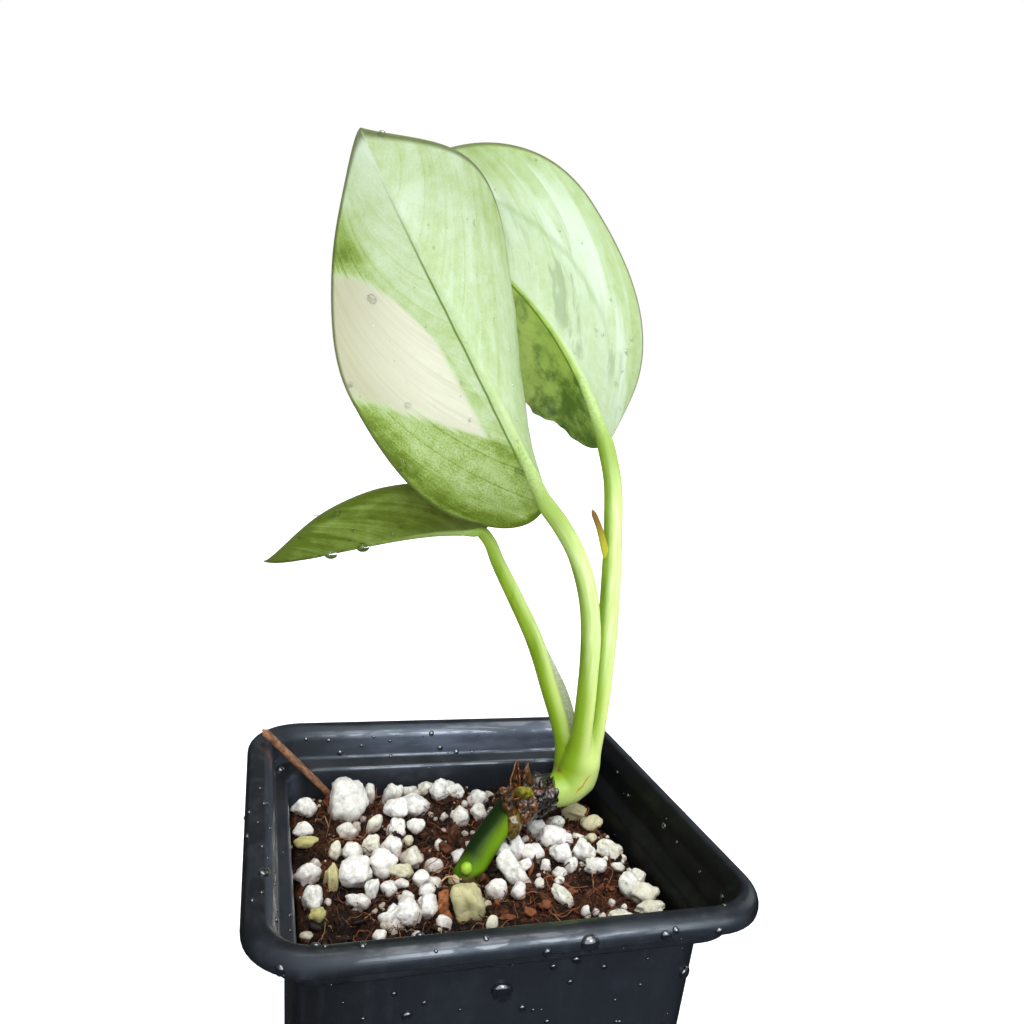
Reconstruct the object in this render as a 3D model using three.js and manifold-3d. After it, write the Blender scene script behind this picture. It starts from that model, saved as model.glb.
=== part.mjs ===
// A potted pothos cutting: a square nursery pot full of potting mix, an old stem cutting that lies
// slantwise in it, and a new shoot with three leaves. Millimetres, +Z up, the origin in the middle
// of the pot's underside, the pot's sides along X and Y.

import * as THREE from 'three';
import { mergeVertices } from 'three/addons/utils/BufferGeometryUtils.js';
import Module from 'manifold-3d';

const wasm = await Module();
wasm.setup();

// Driving dimensions of the pot
const POT_HEIGHT = 72;
const RIM_HALF = 37.5;
const RIM_CORNER = 10.2;
const LIP_RADIUS = 2.2;
const LIP_DROP = 2.9;
const LIP_WIDTH = 4.9;
const COLLAR_DEPTH = 6.4;
const WALL = 0.9;
const BODY_TOP_HALF = 30.6;
const BODY_FOOT_HALF = 27.2;
const BODY_CORNER = 7;
const FLOOR_THICK = 1.2;
const LEDGE_DROP = 2.2;
const LEDGE_CORNER = 6;
const FOOT_ROUND = 0.8;
const DRAIN_RADIUS = 3.2;
const DRAIN_OFFSET = 17.5;
const DRAIN_COUNT = 8;

// Driving dimensions of the filling
const MIX_LEVEL = 60.4;
const MIX_CLEARANCE = 0.3;
const GRAIN_COUNT = 74;
const GRAIN_SEED = 11;
const GRAIN_SMALL = 1.2;
const GRAIN_SPREAD = 1.0;

// Clearance that neighbouring pieces keep
const GAP = 0.3;

// Driving dimensions of the plant
const BLADE_THICK = 0.8;
const OUTLINE_STEPS = 10;
const BLADE_COLUMNS = 4;
const RIB_STEPS = 10;
const RIB_SIDES = 7;
const SHOOT_TOP = 74.2;
const RIB_ROOT = 1.15;
const RIB_TIP = 0.4;
const RIB_REACH = 0.86;

// The three leaves. A midrib is a Bezier curve from the blade's base to its tip. The blade's upper
// face looks along the bearing (degrees from +Y towards +X) and the pitch above the horizon. Each
// half is folded up from the midrib by an angle at the base, the middle and the tip, and curls by so
// many degrees a millimetre. Left and right are as seen from the underside with the tip up.
const LEAVES = {
  front: {
    midrib: [[10.8, 8, 123.1], [-0.8, 1.7, 140.2], [-12.4, 6.4, 158.3], [-26.7, -7.9, 175.8]],
    bearing: 48.4, pitch: -26.7, twist: [-18, -9.5],
    left: { width: 21.5, fold: [16, 8.5, 28], curl: [-1.3, 0.7], lobe: 5.5 },
    right: { width: 26, fold: [88, 47, 30.5], curl: [0.9, 1.9], lobe: 7.4 },
    widest: 0.48, blunt: 0.02,
  },
  back: {
    midrib: [[24.2, 16, 134.5], [16.9, 15.4, 150], [12.9, 28.1, 163.5], [-19.3, 28, 177.8]],
    bearing: 26.2, pitch: -1, twist: [-11, 7.7],
    left: { width: 21.6, fold: [65, 42, 29], curl: [0.3, -0.1], lobe: 2.7 },
    right: { width: 26, fold: [62.5, 29, -9], curl: [-0.3, 1.1], lobe: 1.4 },
    widest: 0.55, blunt: 0.02,
  },
  low: {
    midrib: [[1.8, 17, 116.1], [-11.6, 18.3, 116.3], [-23.9, 20.3, 109.6], [-36.3, 24, 107.8]],
    bearing: 10, pitch: 51.5, twist: [1, -3.5],
    left: { width: 14, fold: [45, 40, 30], curl: [-0.5, -0.5], lobe: 2 },
    right: { width: 11.5, fold: [48, 28, 39], curl: [-1, -0.4], lobe: 2.7 },
    widest: 0.4, blunt: 0.08,
  },
};

// The petioles' centre lines, from inside the shoot's base up to the blade, and their radii.
const PETIOLES = {
  front: {
    route: [[21.9, 10.2, 69], [23.1, 10, 77.5], [23.3, 9.8, 89.7], [22.7, 9.6, 98.5], [20.9, 9.3, 106.2],
      [17.9, 9, 113.4], [14.3, 8.6, 118.7], [10.8, 8, 123.1]],
    radius: [1.5, 1.4],
  },
  back: {
    route: [[25.4, 11.3, 69], [27.2, 12, 78], [28.2, 13, 91], [28, 14, 106.2], [27.2, 14.8, 117.8],
      [26, 15.4, 127.3], [24.2, 16, 134.5]],
    radius: [1.6, 1.25],
  },
  low: {
    route: [[21.6, 12.9, 69], [21.3, 13.5, 76], [17.2, 14.8, 88], [14.2, 15.4, 95.8], [10, 16, 103.4],
      [5.6, 16.5, 110.9], [3.9, 16.8, 114], [1.8, 17, 116.1]],
    radius: [1.25, 0.95],
  },
};

// The low petiole keeps a dry wing of its sheath, and the back one a short free tip.
const WING_THICK = 0.6;
const LOW_WING = [[14.6, 15.2, 97], [18.6, 14.9, 91], [21.6, 14.9, 85], [21.9, 14.6, 80]];
const BACK_TIP = [[27, 14.4, 111.5], [25.4, 13.4, 114.5], [23.5, 12.3, 118.4], [21.3, 11.5, 122]];

// The old stem, the shoot's base, the husk round the node and the dry stalk
const STEM_ROUTE = [[-7.5, -9.5, 52.5], [-3, -5.5, 58], [0.4, -2.4, 61.6], [4, 1, 64.4], [7.6, 4.2, 66.5],
  [11.3, 7.3, 67.9], [13.4, 8.8, 68.2]];
const STEM_RADIUS = 2.5;
const NODE_RADIUS = 2.9;
const SHOOT_ROUTE = [[13.6, 9, 68.2], [17, 9.5, 67.8], [21.4, 10.4, 68.2], [23.6, 11, 70.6],
  [24.1, 11.3, 74.6]];
const HUSK_START = [8.6, 5.2, 67];
const HUSK_END = [16.9, 9.2, 68.4];
const HUSK_RADIUS = 3.85;
const HUSK_THICK = 0.7;
const STALK_ROUTE = [[-19.6, 26.7, 58.4], [-22.6, 27, 61.6], [-29, 27.5, 68.1], [-34.9, 28, 74]];
const STALK_RADIUS = 0.5;

const vec = (p) => new THREE.Vector3(p[0], p[1], p[2]);
const lerp = THREE.MathUtils.lerp;
const radians = THREE.MathUtils.degToRad;

// A small repeatable random source
function randomSource(seed) {
  let state = seed;
  return () => {
    state = (state * 16807) % 2147483647;
    return state / 2147483647;
  };
}

function geometryFrom(points, triangles) {
  const geometry = new THREE.BufferGeometry();
  const positions = points.flatMap((p) => p.toArray());
  geometry.setAttribute('position', new THREE.Float32BufferAttribute(positions, 3));
  geometry.setIndex(triangles.flat());
  return geometry;
}

// A closed skin over rings of equal length, with a fan at each end
function loft(rings) {
  const count = rings[0].length;
  const points = rings.flat();
  const triangles = [];
  for (let r = 0; r + 1 < rings.length; r += 1) {
    for (let i = 0; i < count; i += 1) {
      const a = r * count + i;
      const b = r * count + ((i + 1) % count);
      triangles.push([a, b, b + count], [a, b + count, a + count]);
    }
  }
  const last = (rings.length - 1) * count;
  for (let i = 1; i + 1 < count; i += 1) {
    triangles.push([0, i + 1, i], [last, last + i, last + i + 1]);
  }
  return geometryFrom(points, triangles);
}

// A solid for cutting and joining, from any closed geometry
function solidFrom(geometry) {
  const plain = geometry.clone();
  plain.deleteAttribute('normal');
  plain.deleteAttribute('uv');
  const merged = mergeVertices(plain, 1e-4);
  const index = merged.index.array;
  const kept = [];
  for (let i = 0; i < index.length; i += 3) {
    const [a, b, c] = [index[i], index[i + 1], index[i + 2]];
    if (a !== b && b !== c && c !== a) kept.push(a, b, c);
  }
  return new wasm.Manifold(new wasm.Mesh({
    numProp: 3,
    vertProperties: new Float32Array(merged.attributes.position.array),
    triVerts: new Uint32Array(kept),
  }));
}

function geometryOf(solid) {
  const mesh = solid.getMesh();
  const geometry = new THREE.BufferGeometry();
  const positions = [];
  for (let i = 0; i < mesh.numVert; i += 1) {
    const at = i * mesh.numProp;
    positions.push(mesh.vertProperties[at], mesh.vertProperties[at + 1], mesh.vertProperties[at + 2]);
  }
  geometry.setAttribute('position', new THREE.Float32BufferAttribute(positions, 3));
  geometry.setIndex(Array.from(mesh.triVerts));
  return geometry;
}

// A rounded square, anticlockwise from above, with points along its straight sides as well
function squareRing(half, corner, z, cornerSteps, sideSteps) {
  const ring = [];
  const straight = half - corner;
  for (let side = 0; side < 4; side += 1) {
    const turn = side * Math.PI / 2;
    for (let i = 0; i <= cornerSteps; i += 1) {
      const angle = turn + (i / cornerSteps) * Math.PI / 2;
      const middle = new THREE.Vector2(straight, straight).rotateAround(new THREE.Vector2(), turn);
      const [x, y] = [middle.x + corner * Math.cos(angle), middle.y + corner * Math.sin(angle)];
      ring.push(new THREE.Vector3(x, y, z));
    }
    const next = turn + Math.PI / 2;
    for (let i = 1; i <= sideSteps; i += 1) {
      const along = straight - (2 * straight * i) / (sideSteps + 1);
      const point = new THREE.Vector2(half, -along).rotateAround(new THREE.Vector2(), next);
      ring.push(new THREE.Vector3(point.x, point.y, z));
    }
  }
  return ring;
}

// The pot is one skin: up the outside, over the turned-down lip, and down the inside to the floor.
// Each ring of it is given by its half width, its height and its corner radius.
function nurseryPot() {
  const inner = RIM_HALF - LIP_WIDTH;
  const collarFoot = POT_HEIGHT - COLLAR_DEPTH;
  const skirt = POT_HEIGHT - LIP_DROP;
  const lipRing = (inset, z) => [RIM_HALF - inset, z, RIM_CORNER - inset];
  const outside = [
    [BODY_FOOT_HALF - FOOT_ROUND, 0, BODY_CORNER],
    [BODY_FOOT_HALF, FOOT_ROUND, BODY_CORNER],
    [BODY_TOP_HALF, collarFoot - LEDGE_DROP, BODY_CORNER],
    [inner - WALL / 2, collarFoot - LEDGE_DROP / 2, LEDGE_CORNER],
    [inner + WALL, collarFoot - WALL / 3, LEDGE_CORNER],
    [inner + WALL, POT_HEIGHT - WALL - 0.6, LEDGE_CORNER],
    lipRing(2 * WALL, POT_HEIGHT - WALL - 0.7),
    lipRing(WALL + 0.1, skirt + WALL),
    lipRing(WALL, skirt),
    lipRing(0.1, skirt),
  ];
  const lip = [0, 30, 60, 85].map((degrees) => {
    const angle = radians(degrees);
    return lipRing(LIP_RADIUS * (1 - Math.cos(angle)), POT_HEIGHT - LIP_RADIUS * (1 - Math.sin(angle)));
  });
  const inside = [
    [inner + 1.9, POT_HEIGHT - 0.15, LEDGE_CORNER + 1],
    [inner + 0.9, POT_HEIGHT - 0.7, LEDGE_CORNER + 0.2],
    [inner + 0.2, POT_HEIGHT - 1.7, LEDGE_CORNER - 0.4],
    [inner, POT_HEIGHT - 3, LEDGE_CORNER - 0.6],
    [inner - 0.1, collarFoot + 0.4, LEDGE_CORNER - 0.6],
    [inner - 1.1, collarFoot - 0.6, LEDGE_CORNER - 0.6],
    [BODY_TOP_HALF - WALL + 0.3, collarFoot - 1.2, BODY_CORNER - WALL],
    [BODY_TOP_HALF - WALL, collarFoot - LEDGE_DROP, BODY_CORNER - WALL],
    [BODY_FOOT_HALF - WALL, FLOOR_THICK, BODY_CORNER - WALL],
  ];
  const rings = [...outside, ...lip, ...inside].map(([half, z, corner]) => squareRing(half, corner, z, 6, 0));
  let pot = solidFrom(loft(rings));
  for (let i = 0; i < DRAIN_COUNT; i += 1) {
    const angle = (i / DRAIN_COUNT) * 2 * Math.PI;
    const reach = i % 2 === 0 ? DRAIN_OFFSET : DRAIN_OFFSET * 1.25;
    const drain = new THREE.CylinderGeometry(DRAIN_RADIUS, DRAIN_RADIUS, 5 * FLOOR_THICK, 12);
    drain.rotateX(Math.PI / 2);
    drain.translate(reach * Math.cos(angle), reach * Math.sin(angle), 0);
    pot = pot.subtract(solidFrom(drain));
  }
  return pot;
}

// The loose surface of the mix: low swells, a little higher towards the right and front.
function mixHeight(x, y) {
  const swell = 0.7 * Math.sin(x * 0.31 + 1.1) * Math.cos(y * 0.27 - 0.4);
  const crumb = 0.35 * Math.sin(x * 0.83 + y * 0.55) + 0.3 * Math.cos(y * 0.91 - x * 0.37);
  return MIX_LEVEL + swell + crumb + 0.012 * x - 0.012 * y;
}

function innerHalfAt(z) {
  const foot = BODY_FOOT_HALF - WALL;
  const top = BODY_TOP_HALF - WALL;
  return lerp(foot, top, (z - FLOOR_THICK) / (POT_HEIGHT - COLLAR_DEPTH - LEDGE_DROP - FLOOR_THICK));
}

// An angular lump: an icosahedron with its corners pushed in or out
function grain(center, half, random) {
  const shape = new THREE.IcosahedronGeometry(1, 0);
  shape.deleteAttribute('normal');
  shape.deleteAttribute('uv');
  const lump = mergeVertices(shape, 1e-4);
  const position = lump.attributes.position;
  for (let i = 0; i < position.count; i += 1) {
    const push = 0.85 + 0.3 * random();
    position.setXYZ(i, position.getX(i) * push, position.getY(i) * push, position.getZ(i) * push);
  }
  lump.scale(half[0], half[1], half[2]);
  lump.rotateZ(random() * Math.PI);
  lump.translate(center.x, center.y, center.z);
  return lump;
}

// The biggest grains of perlite, by place, half width and half height; the rest are scattered by rule.
const BIG_GRAINS = [
  [-18.2, 17, 3.2, 3.8], [-0.8, 23.5, 3.4, 3], [-9.6, 16.5, 3, 2.6], [-19.2, 2, 2.5, 2.6],
  [-12.9, -8, 3.2, 2.4],
  [9.5, 1, 2.8, 3], [-2.2, -9.5, 2.9, 3.4], [-3.5, 17, 2.2, 2.4], [-14, 9, 2.4, 2.6], [-24, 12, 2.4, 2.2],
  [-25.5, -4, 2.3, 2], [-8, 6, 2.2, 2.4], [14, 4, 2, 2.2], [20, 13, 2.2, 2], [17, -3, 2, 1.7],
  [25, -9, 2.2, 1.6], [23.5, 4, 2, 1.7], [-8.5, -14, 2.2, 2], [-22, -14, 2.1, 1.8], [4, 24, 2, 2.2],
];

function pottingMix(cutters) {
  const foot = FLOOR_THICK + MIX_CLEARANCE;
  const corner = BODY_CORNER - WALL - MIX_CLEARANCE;
  const edge = innerHalfAt(MIX_LEVEL - 2) - MIX_CLEARANCE;
  const rings = [squareRing(innerHalfAt(foot) - MIX_CLEARANCE, corner, foot, 3, 4)];
  rings.push(squareRing(edge, corner, MIX_LEVEL - 2, 3, 4));
  const steps = 8;
  for (let i = 0; i < steps; i += 1) {
    const share = 1 - i / steps;
    const ring = squareRing(edge * share, corner * share, MIX_LEVEL, 3, 4);
    ring.forEach((p) => { p.z = mixHeight(p.x, p.y) - (i === 0 ? 0.6 : 0); });
    rings.push(ring);
  }
  const random = randomSource(GRAIN_SEED);
  const solids = [solidFrom(loft(rings))];
  const reach = edge - 3.2;
  const placed = [...BIG_GRAINS];
  while (placed.length < GRAIN_COUNT) {
    const x = (2 * random() - 1) * reach;
    const y = (2 * random() - 1) * reach;
    const size = GRAIN_SMALL + GRAIN_SPREAD * random();
    if (placed.every(([px, py, wide]) => Math.hypot(px - x, py - y) > 0.78 * (wide + size))) {
      placed.push([x, y, size, size]);
    }
  }
  for (const [x, y, wide, tall] of placed) {
    const center = new THREE.Vector3(x, y, mixHeight(x, y) + 0.25 * tall);
    solids.push(solidFrom(grain(center, [wide, wide * 0.85, tall * 0.85], random)));
  }
  let mix = wasm.Manifold.union(solids);
  for (const cutter of cutters) mix = mix.subtract(cutter);
  return largestPiece(mix);
}

// Cutting may free a crumb; only the main body stays.
function largestPiece(solid) {
  const pieces = solid.decompose();
  pieces.sort((a, b) => b.volume() - a.volume());
  return pieces[0];
}

// A stem: oval rings square to a smooth route. Their wide axis is level and square to the route.
function stem(route, steps, sides, halves, grow = 0) {
  const curve = new THREE.CatmullRomCurve3(route.map(vec), false, 'centripetal');
  const depth = new THREE.Vector3(0, 1, 0);
  const rings = [];
  for (let i = 0; i <= steps; i += 1) {
    const share = i / steps;
    const center = curve.getPointAt(share);
    const along = curve.getTangentAt(share);
    const wide = new THREE.Vector3().crossVectors(depth, along).normalize();
    const deep = new THREE.Vector3().crossVectors(along, wide);
    const [a, b] = halves(share);
    if (i === 0) center.addScaledVector(along, -grow);
    if (i === steps) center.addScaledVector(along, grow);
    rings.push(Array.from({ length: sides }, (_, k) => {
      const angle = (k / sides) * 2 * Math.PI;
      return center.clone()
        .addScaledVector(wide, (a + grow) * Math.cos(angle))
        .addScaledVector(deep, (b + grow) * Math.sin(angle));
    }));
  }
  return loft(rings);
}

function knob(center, half) {
  const shape = new THREE.IcosahedronGeometry(1, 1);
  shape.scale(half[0], half[1], half[2]);
  shape.translate(center[0], center[1], center[2]);
  return solidFrom(shape);
}

// The old stem swells at its node. A root bud shows at its foot and a dead root hangs at the node.
function oldStem(grow = 0) {
  const halves = (share) => {
    const swell = Math.exp(-(((share - 0.9) / 0.09) ** 2));
    const radius = STEM_RADIUS + (NODE_RADIUS - STEM_RADIUS) * swell;
    return [radius, radius];
  };
  const body = solidFrom(stem(STEM_ROUTE, 16, 10, halves, grow));
  const bud = knob([-0.9, -3.9, 61.4], [1.9 + grow, 1.7 + grow, 1.7 + grow]);
  const root = knob([10.4, 5, 63.6], [1.3 + grow, 1.2 + grow, 2.5 + grow]);
  return wasm.Manifold.union([body, bud, root]);
}

function shootBase(grow = 0) {
  const halves = (share) => [lerp(2.2, 4.1, share ** 0.8), lerp(2.2, 3.1, share)];
  const whole = solidFrom(stem(SHOOT_ROUTE, 9, 12, halves, grow));
  return whole.subtract(slab(SHOOT_TOP, SHOOT_TOP + 30)).subtract(oldStem(GAP));
}

function slab(low, high) {
  const box = new THREE.BoxGeometry(90, 90, high - low);
  box.translate(0, 0, (low + high) / 2);
  return solidFrom(box);
}

// A sheet given by its middle surface becomes a closed body of even thickness.
function thicken(points, triangles, thickness) {
  const normals = points.map(() => new THREE.Vector3());
  for (const [a, b, c] of triangles) {
    const u = points[b].clone().sub(points[a]);
    const v = points[c].clone().sub(points[a]);
    const face = u.cross(v);
    for (const i of [a, b, c]) normals[i].add(face);
  }
  normals.forEach((n) => n.normalize());
  const half = thickness / 2;
  const upper = points.map((p, i) => p.clone().addScaledVector(normals[i], half));
  const lower = points.map((p, i) => p.clone().addScaledVector(normals[i], -half));
  const count = points.length;
  const faces = triangles.flatMap(([a, b, c]) => [[a, b, c], [c + count, b + count, a + count]]);
  const used = new Set(triangles.flatMap(([a, b, c]) => [`${a}_${b}`, `${b}_${c}`, `${c}_${a}`]));
  for (const key of used) {
    const [a, b] = key.split('_').map(Number);
    if (!used.has(`${b}_${a}`)) faces.push([b, a, a + count], [b, a + count, b + count]);
  }
  return solidFrom(geometryFrom([...upper, ...lower], faces));
}

// Half of a leaf's flat outline, from the base round the lobe to the tip: along the midrib, and out
function halfOutline(length, width, widest, lobe, blunt, steps) {
  const at = widest * length;
  const round = new THREE.CubicBezierCurve(
    new THREE.Vector2(0, 0), new THREE.Vector2(-1.35 * lobe, 0.18 * width),
    new THREE.Vector2(-1.1 * lobe, width), new THREE.Vector2(at, width),
  );
  const taper = new THREE.CubicBezierCurve(
    new THREE.Vector2(at, width), new THREE.Vector2(at + 0.45 * (length - at), width),
    new THREE.Vector2(length * (1 - blunt), 0.16 * width), new THREE.Vector2(length, 0),
  );
  return [...round.getPoints(steps), ...taper.getPoints(steps).slice(1)];
}

const quadratic = ([a, b, c], u) => a * (1 - u) * (1 - 2 * u) + b * 4 * u * (1 - u) + c * u * (2 * u - 1);

// The surface of one leaf: at() gives the point so far along the midrib and so far out to one side.
function leafSurface(leaf) {
  const curve = new THREE.CubicBezierCurve3(...leaf.midrib.map(vec));
  const length = curve.getLength();
  const bearing = radians(leaf.bearing);
  const pitch = radians(leaf.pitch);
  const face = new THREE.Vector3(
    Math.sin(bearing) * Math.cos(pitch), Math.cos(bearing) * Math.cos(pitch), Math.sin(pitch),
  );
  const frame = (along) => {
    const share = THREE.MathUtils.clamp(along / length, 0, 1);
    const center = curve.getPointAt(share);
    const tangent = curve.getTangentAt(share);
    center.addScaledVector(tangent, Math.min(along, 0));
    const up = face.clone().addScaledVector(tangent, -face.dot(tangent)).normalize();
    const across = new THREE.Vector3().crossVectors(up, tangent);
    const twist = radians(lerp(leaf.twist[0], leaf.twist[1], share));
    const upper = up.clone().multiplyScalar(Math.cos(twist)).addScaledVector(across, Math.sin(twist));
    const right = across.clone().multiplyScalar(Math.cos(twist)).addScaledVector(up, -Math.sin(twist));
    return { share, center, tangent, upper, right };
  };
  const at = (along, out, side) => {
    const half = side > 0 ? leaf.right : leaf.left;
    const { share, center, upper, right } = frame(along);
    const fold = radians(quadratic(half.fold, share));
    const bend = radians(lerp(half.curl[0], half.curl[1], share)) * out * 0.5;
    const chord = Math.abs(bend) < 1e-6 ? out : out * Math.sin(bend) / bend;
    return center.clone()
      .addScaledVector(right, side * chord * Math.cos(fold + bend))
      .addScaledVector(upper, chord * Math.sin(fold + bend));
  };
  return { length, frame, at };
}

// A blade is a thin shell of both halves with its midrib raised along the underside.
function blade(leaf, cutters) {
  const surface = leafSurface(leaf);
  const points = [];
  const known = new Map();
  const pointAt = (along, out, side) => {
    const p = surface.at(along, out, side);
    const key = p.toArray().map((v) => v.toFixed(3)).join();
    if (!known.has(key)) {
      known.set(key, points.length);
      points.push(p);
    }
    return known.get(key);
  };
  const triangles = [];
  for (const side of [-1, 1]) {
    const half = side > 0 ? leaf.right : leaf.left;
    const { width, lobe } = half;
    const outline = halfOutline(surface.length, width, leaf.widest, lobe, leaf.blunt, OUTLINE_STEPS);
    const rows = outline.map((edge, i) => {
      const root = THREE.MathUtils.clamp(1.25 * (i / (outline.length - 1)) - 0.25, 0, 1) * surface.length;
      return Array.from({ length: BLADE_COLUMNS + 1 }, (_, j) => {
        const share = j / BLADE_COLUMNS;
        return pointAt(lerp(root, edge.x, share), edge.y * share, side);
      });
    });
    for (let i = 0; i + 1 < rows.length; i += 1) {
      for (let j = 0; j < BLADE_COLUMNS; j += 1) {
        const [a, b, c, d] = [rows[i][j], rows[i][j + 1], rows[i + 1][j + 1], rows[i + 1][j]];
        const quad = side > 0 ? [[a, b, c], [a, c, d]] : [[a, c, b], [a, d, c]];
        triangles.push(...quad.filter(([x, y, z]) => x !== y && y !== z && z !== x));
      }
    }
  }
  const shell = thicken(points, triangles, BLADE_THICK);
  const rings = [];
  for (let i = 0; i <= RIB_STEPS; i += 1) {
    const share = (i / RIB_STEPS) * RIB_REACH;
    const { center, upper, right } = surface.frame(share * surface.length);
    const radius = lerp(RIB_ROOT, RIB_TIP, i / RIB_STEPS);
    rings.push(Array.from({ length: RIB_SIDES }, (_, k) => {
      const angle = (k / RIB_SIDES) * 2 * Math.PI;
      return center.clone()
        .addScaledVector(right, radius * Math.cos(angle))
        .addScaledVector(upper, radius * Math.sin(angle) - 0.35 * radius);
    }));
  }
  let whole = shell.add(solidFrom(loft(rings)));
  for (const cutter of cutters) whole = whole.subtract(cutter);
  return largestPiece(whole);
}

function petiole({ route, radius }, grow = 0) {
  const halves = (share) => [lerp(radius[0], radius[1], share), lerp(radius[0], radius[1], share)];
  return solidFrom(stem(route, 16, 8, halves, grow));
}

// A thin wing between a petiole's centre line and a free edge
function wing(route, edge, thickness) {
  const curve = new THREE.CatmullRomCurve3(route.map(vec), false, 'centripetal');
  const steps = 6;
  const free = new THREE.CatmullRomCurve3(edge.map(vec), false, 'centripetal');
  const dense = curve.getSpacedPoints(120);
  const points = [];
  for (let i = 0; i <= steps; i += 1) {
    const outer = free.getPointAt(i / steps);
    const root = dense.reduce((best, p) => (p.distanceTo(outer) < best.distanceTo(outer) ? p : best));
    points.push(root.clone(), outer);
  }
  const triangles = [];
  for (let i = 0; i < steps; i += 1) {
    const a = 2 * i;
    triangles.push([a, a + 1, a + 3], [a, a + 3, a + 2]);
  }
  return thicken(points, triangles, thickness);
}

// The back petiole's free tip stands off the petiole like a narrow thorn.
function freeTip(edge) {
  const curve = new THREE.CatmullRomCurve3(edge.map(vec), false, 'centripetal');
  const rings = [];
  for (let i = 0; i <= 5; i += 1) {
    const share = i / 5;
    const center = curve.getPointAt(share);
    const size = lerp(0.9, 0.3, share);
    rings.push(Array.from({ length: 6 }, (_, k) => {
      const angle = (k / 6) * 2 * Math.PI;
      return center.clone().add(new THREE.Vector3(size * Math.cos(angle), size * Math.sin(angle), 0));
    }));
  }
  return solidFrom(loft(rings));
}

// The torn dry husk: a ragged sleeve round the node that flares into spikes at its upper edge
function dryHusk(cutters) {
  const start = vec(HUSK_START);
  const along = vec(HUSK_END).sub(start);
  const wide = new THREE.Vector3().crossVectors(new THREE.Vector3(0, 0, 1), along).normalize();
  const up = new THREE.Vector3().crossVectors(along, wide).normalize();
  const columns = 18;
  const rows = 4;
  const points = [];
  for (let i = 0; i <= rows; i += 1) {
    const first = i === 0 ? 1 : 0;
    const last = i === rows ? 1 : 0;
    for (let k = 0; k < columns; k += 1) {
      const angle = (k / columns) * 2 * Math.PI;
      const spike = Math.max(0, Math.sin(angle)) ** 6;
      const ragged = 0.06 * Math.sin(3 * angle + 1) + 0.05 * Math.sin(7 * angle);
      const share = lerp(0.05, 0.95, i / rows) + ragged * (last - first);
      const spread = 0.5 + 3.4 * spike + 0.5 * Math.sin(5 * angle);
      const flare = first * spread + last * 0.5 * Math.cos(4 * angle);
      const radius = HUSK_RADIUS + flare + 0.2 * Math.sin(4 * angle + i);
      points.push(start.clone().addScaledVector(along, share)
        .addScaledVector(wide, radius * Math.cos(angle))
        .addScaledVector(up, radius * Math.sin(angle)));
    }
  }
  const triangles = [];
  for (let i = 0; i < rows; i += 1) {
    for (let k = 0; k < columns; k += 1) {
      const a = i * columns + k;
      const b = i * columns + ((k + 1) % columns);
      triangles.push([a, b, b + columns], [a, b + columns, a + columns]);
    }
  }
  let husk = thicken(points, triangles, HUSK_THICK);
  for (const cutter of cutters) husk = husk.subtract(cutter);
  return largestPiece(husk);
}

function dryStalk(grow = 0) {
  const circle = new THREE.Shape().absarc(0, 0, STALK_RADIUS + grow, 0, 2 * Math.PI);
  const path = new THREE.CatmullRomCurve3(STALK_ROUTE.map(vec), false, 'centripetal');
  return solidFrom(new THREE.ExtrudeGeometry(circle, { steps: 12, curveSegments: 3, extrudePath: path }));
}

const plant = new THREE.Group();

function addPiece(name, solid, color, roughness) {
  const material = new THREE.MeshStandardMaterial({ color, roughness, metalness: 0 });
  const mesh = new THREE.Mesh(geometryOf(solid), material);
  mesh.name = name;
  plant.add(mesh);
}

const belowShootTop = slab(SHOOT_TOP - 30, SHOOT_TOP + GAP);
const grownStem = oldStem(GAP);
const stalkFoot = knob(STALK_ROUTE[0], Array(3).fill(STALK_RADIUS + 2 * GAP));

addPiece('nursery_pot', nurseryPot(), 0x15171b, 0.4);
addPiece('potting_mix', pottingMix([grownStem, dryStalk(GAP), stalkFoot]), 0x3a2318, 0.95);
addPiece('old_stem', oldStem(), 0x4c7a1c, 0.5);
addPiece('shoot_base', shootBase(), 0x9cc43c, 0.4);
addPiece('dry_husk', dryHusk([grownStem, shootBase(GAP)]), 0x5b3115, 0.5);
addPiece('dry_stalk', dryStalk(), 0x8a4b25, 0.8);

const petioleExtras = {
  front: [],
  back: [freeTip(BACK_TIP)],
  low: [wing(PETIOLES.low.route, LOW_WING, WING_THICK)],
};
for (const [name, shape] of Object.entries(PETIOLES)) {
  const whole = wasm.Manifold.union([petiole(shape), ...petioleExtras[name]]).subtract(belowShootTop);
  addPiece(`petiole_${name}`, largestPiece(whole), 0x9fce4d, 0.4);
  addPiece(`blade_${name}`, blade(LEAVES[name], [petiole(shape, GAP)]), 0xa9cf82, 0.4);
}

export default plant;
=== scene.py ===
# %% [markdown]
# A potted pothos cutting with three variegated leaves
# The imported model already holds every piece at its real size: a square nursery pot, its filling of
# coir and perlite, an old piece of stem lying slantwise in it, and a new shoot with three leaves.
# This lesson dresses that model. Each piece is rebuilt finer in its own place, from the same few
# measures as the solid model, and then gets a finish made of shader nodes.

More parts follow.
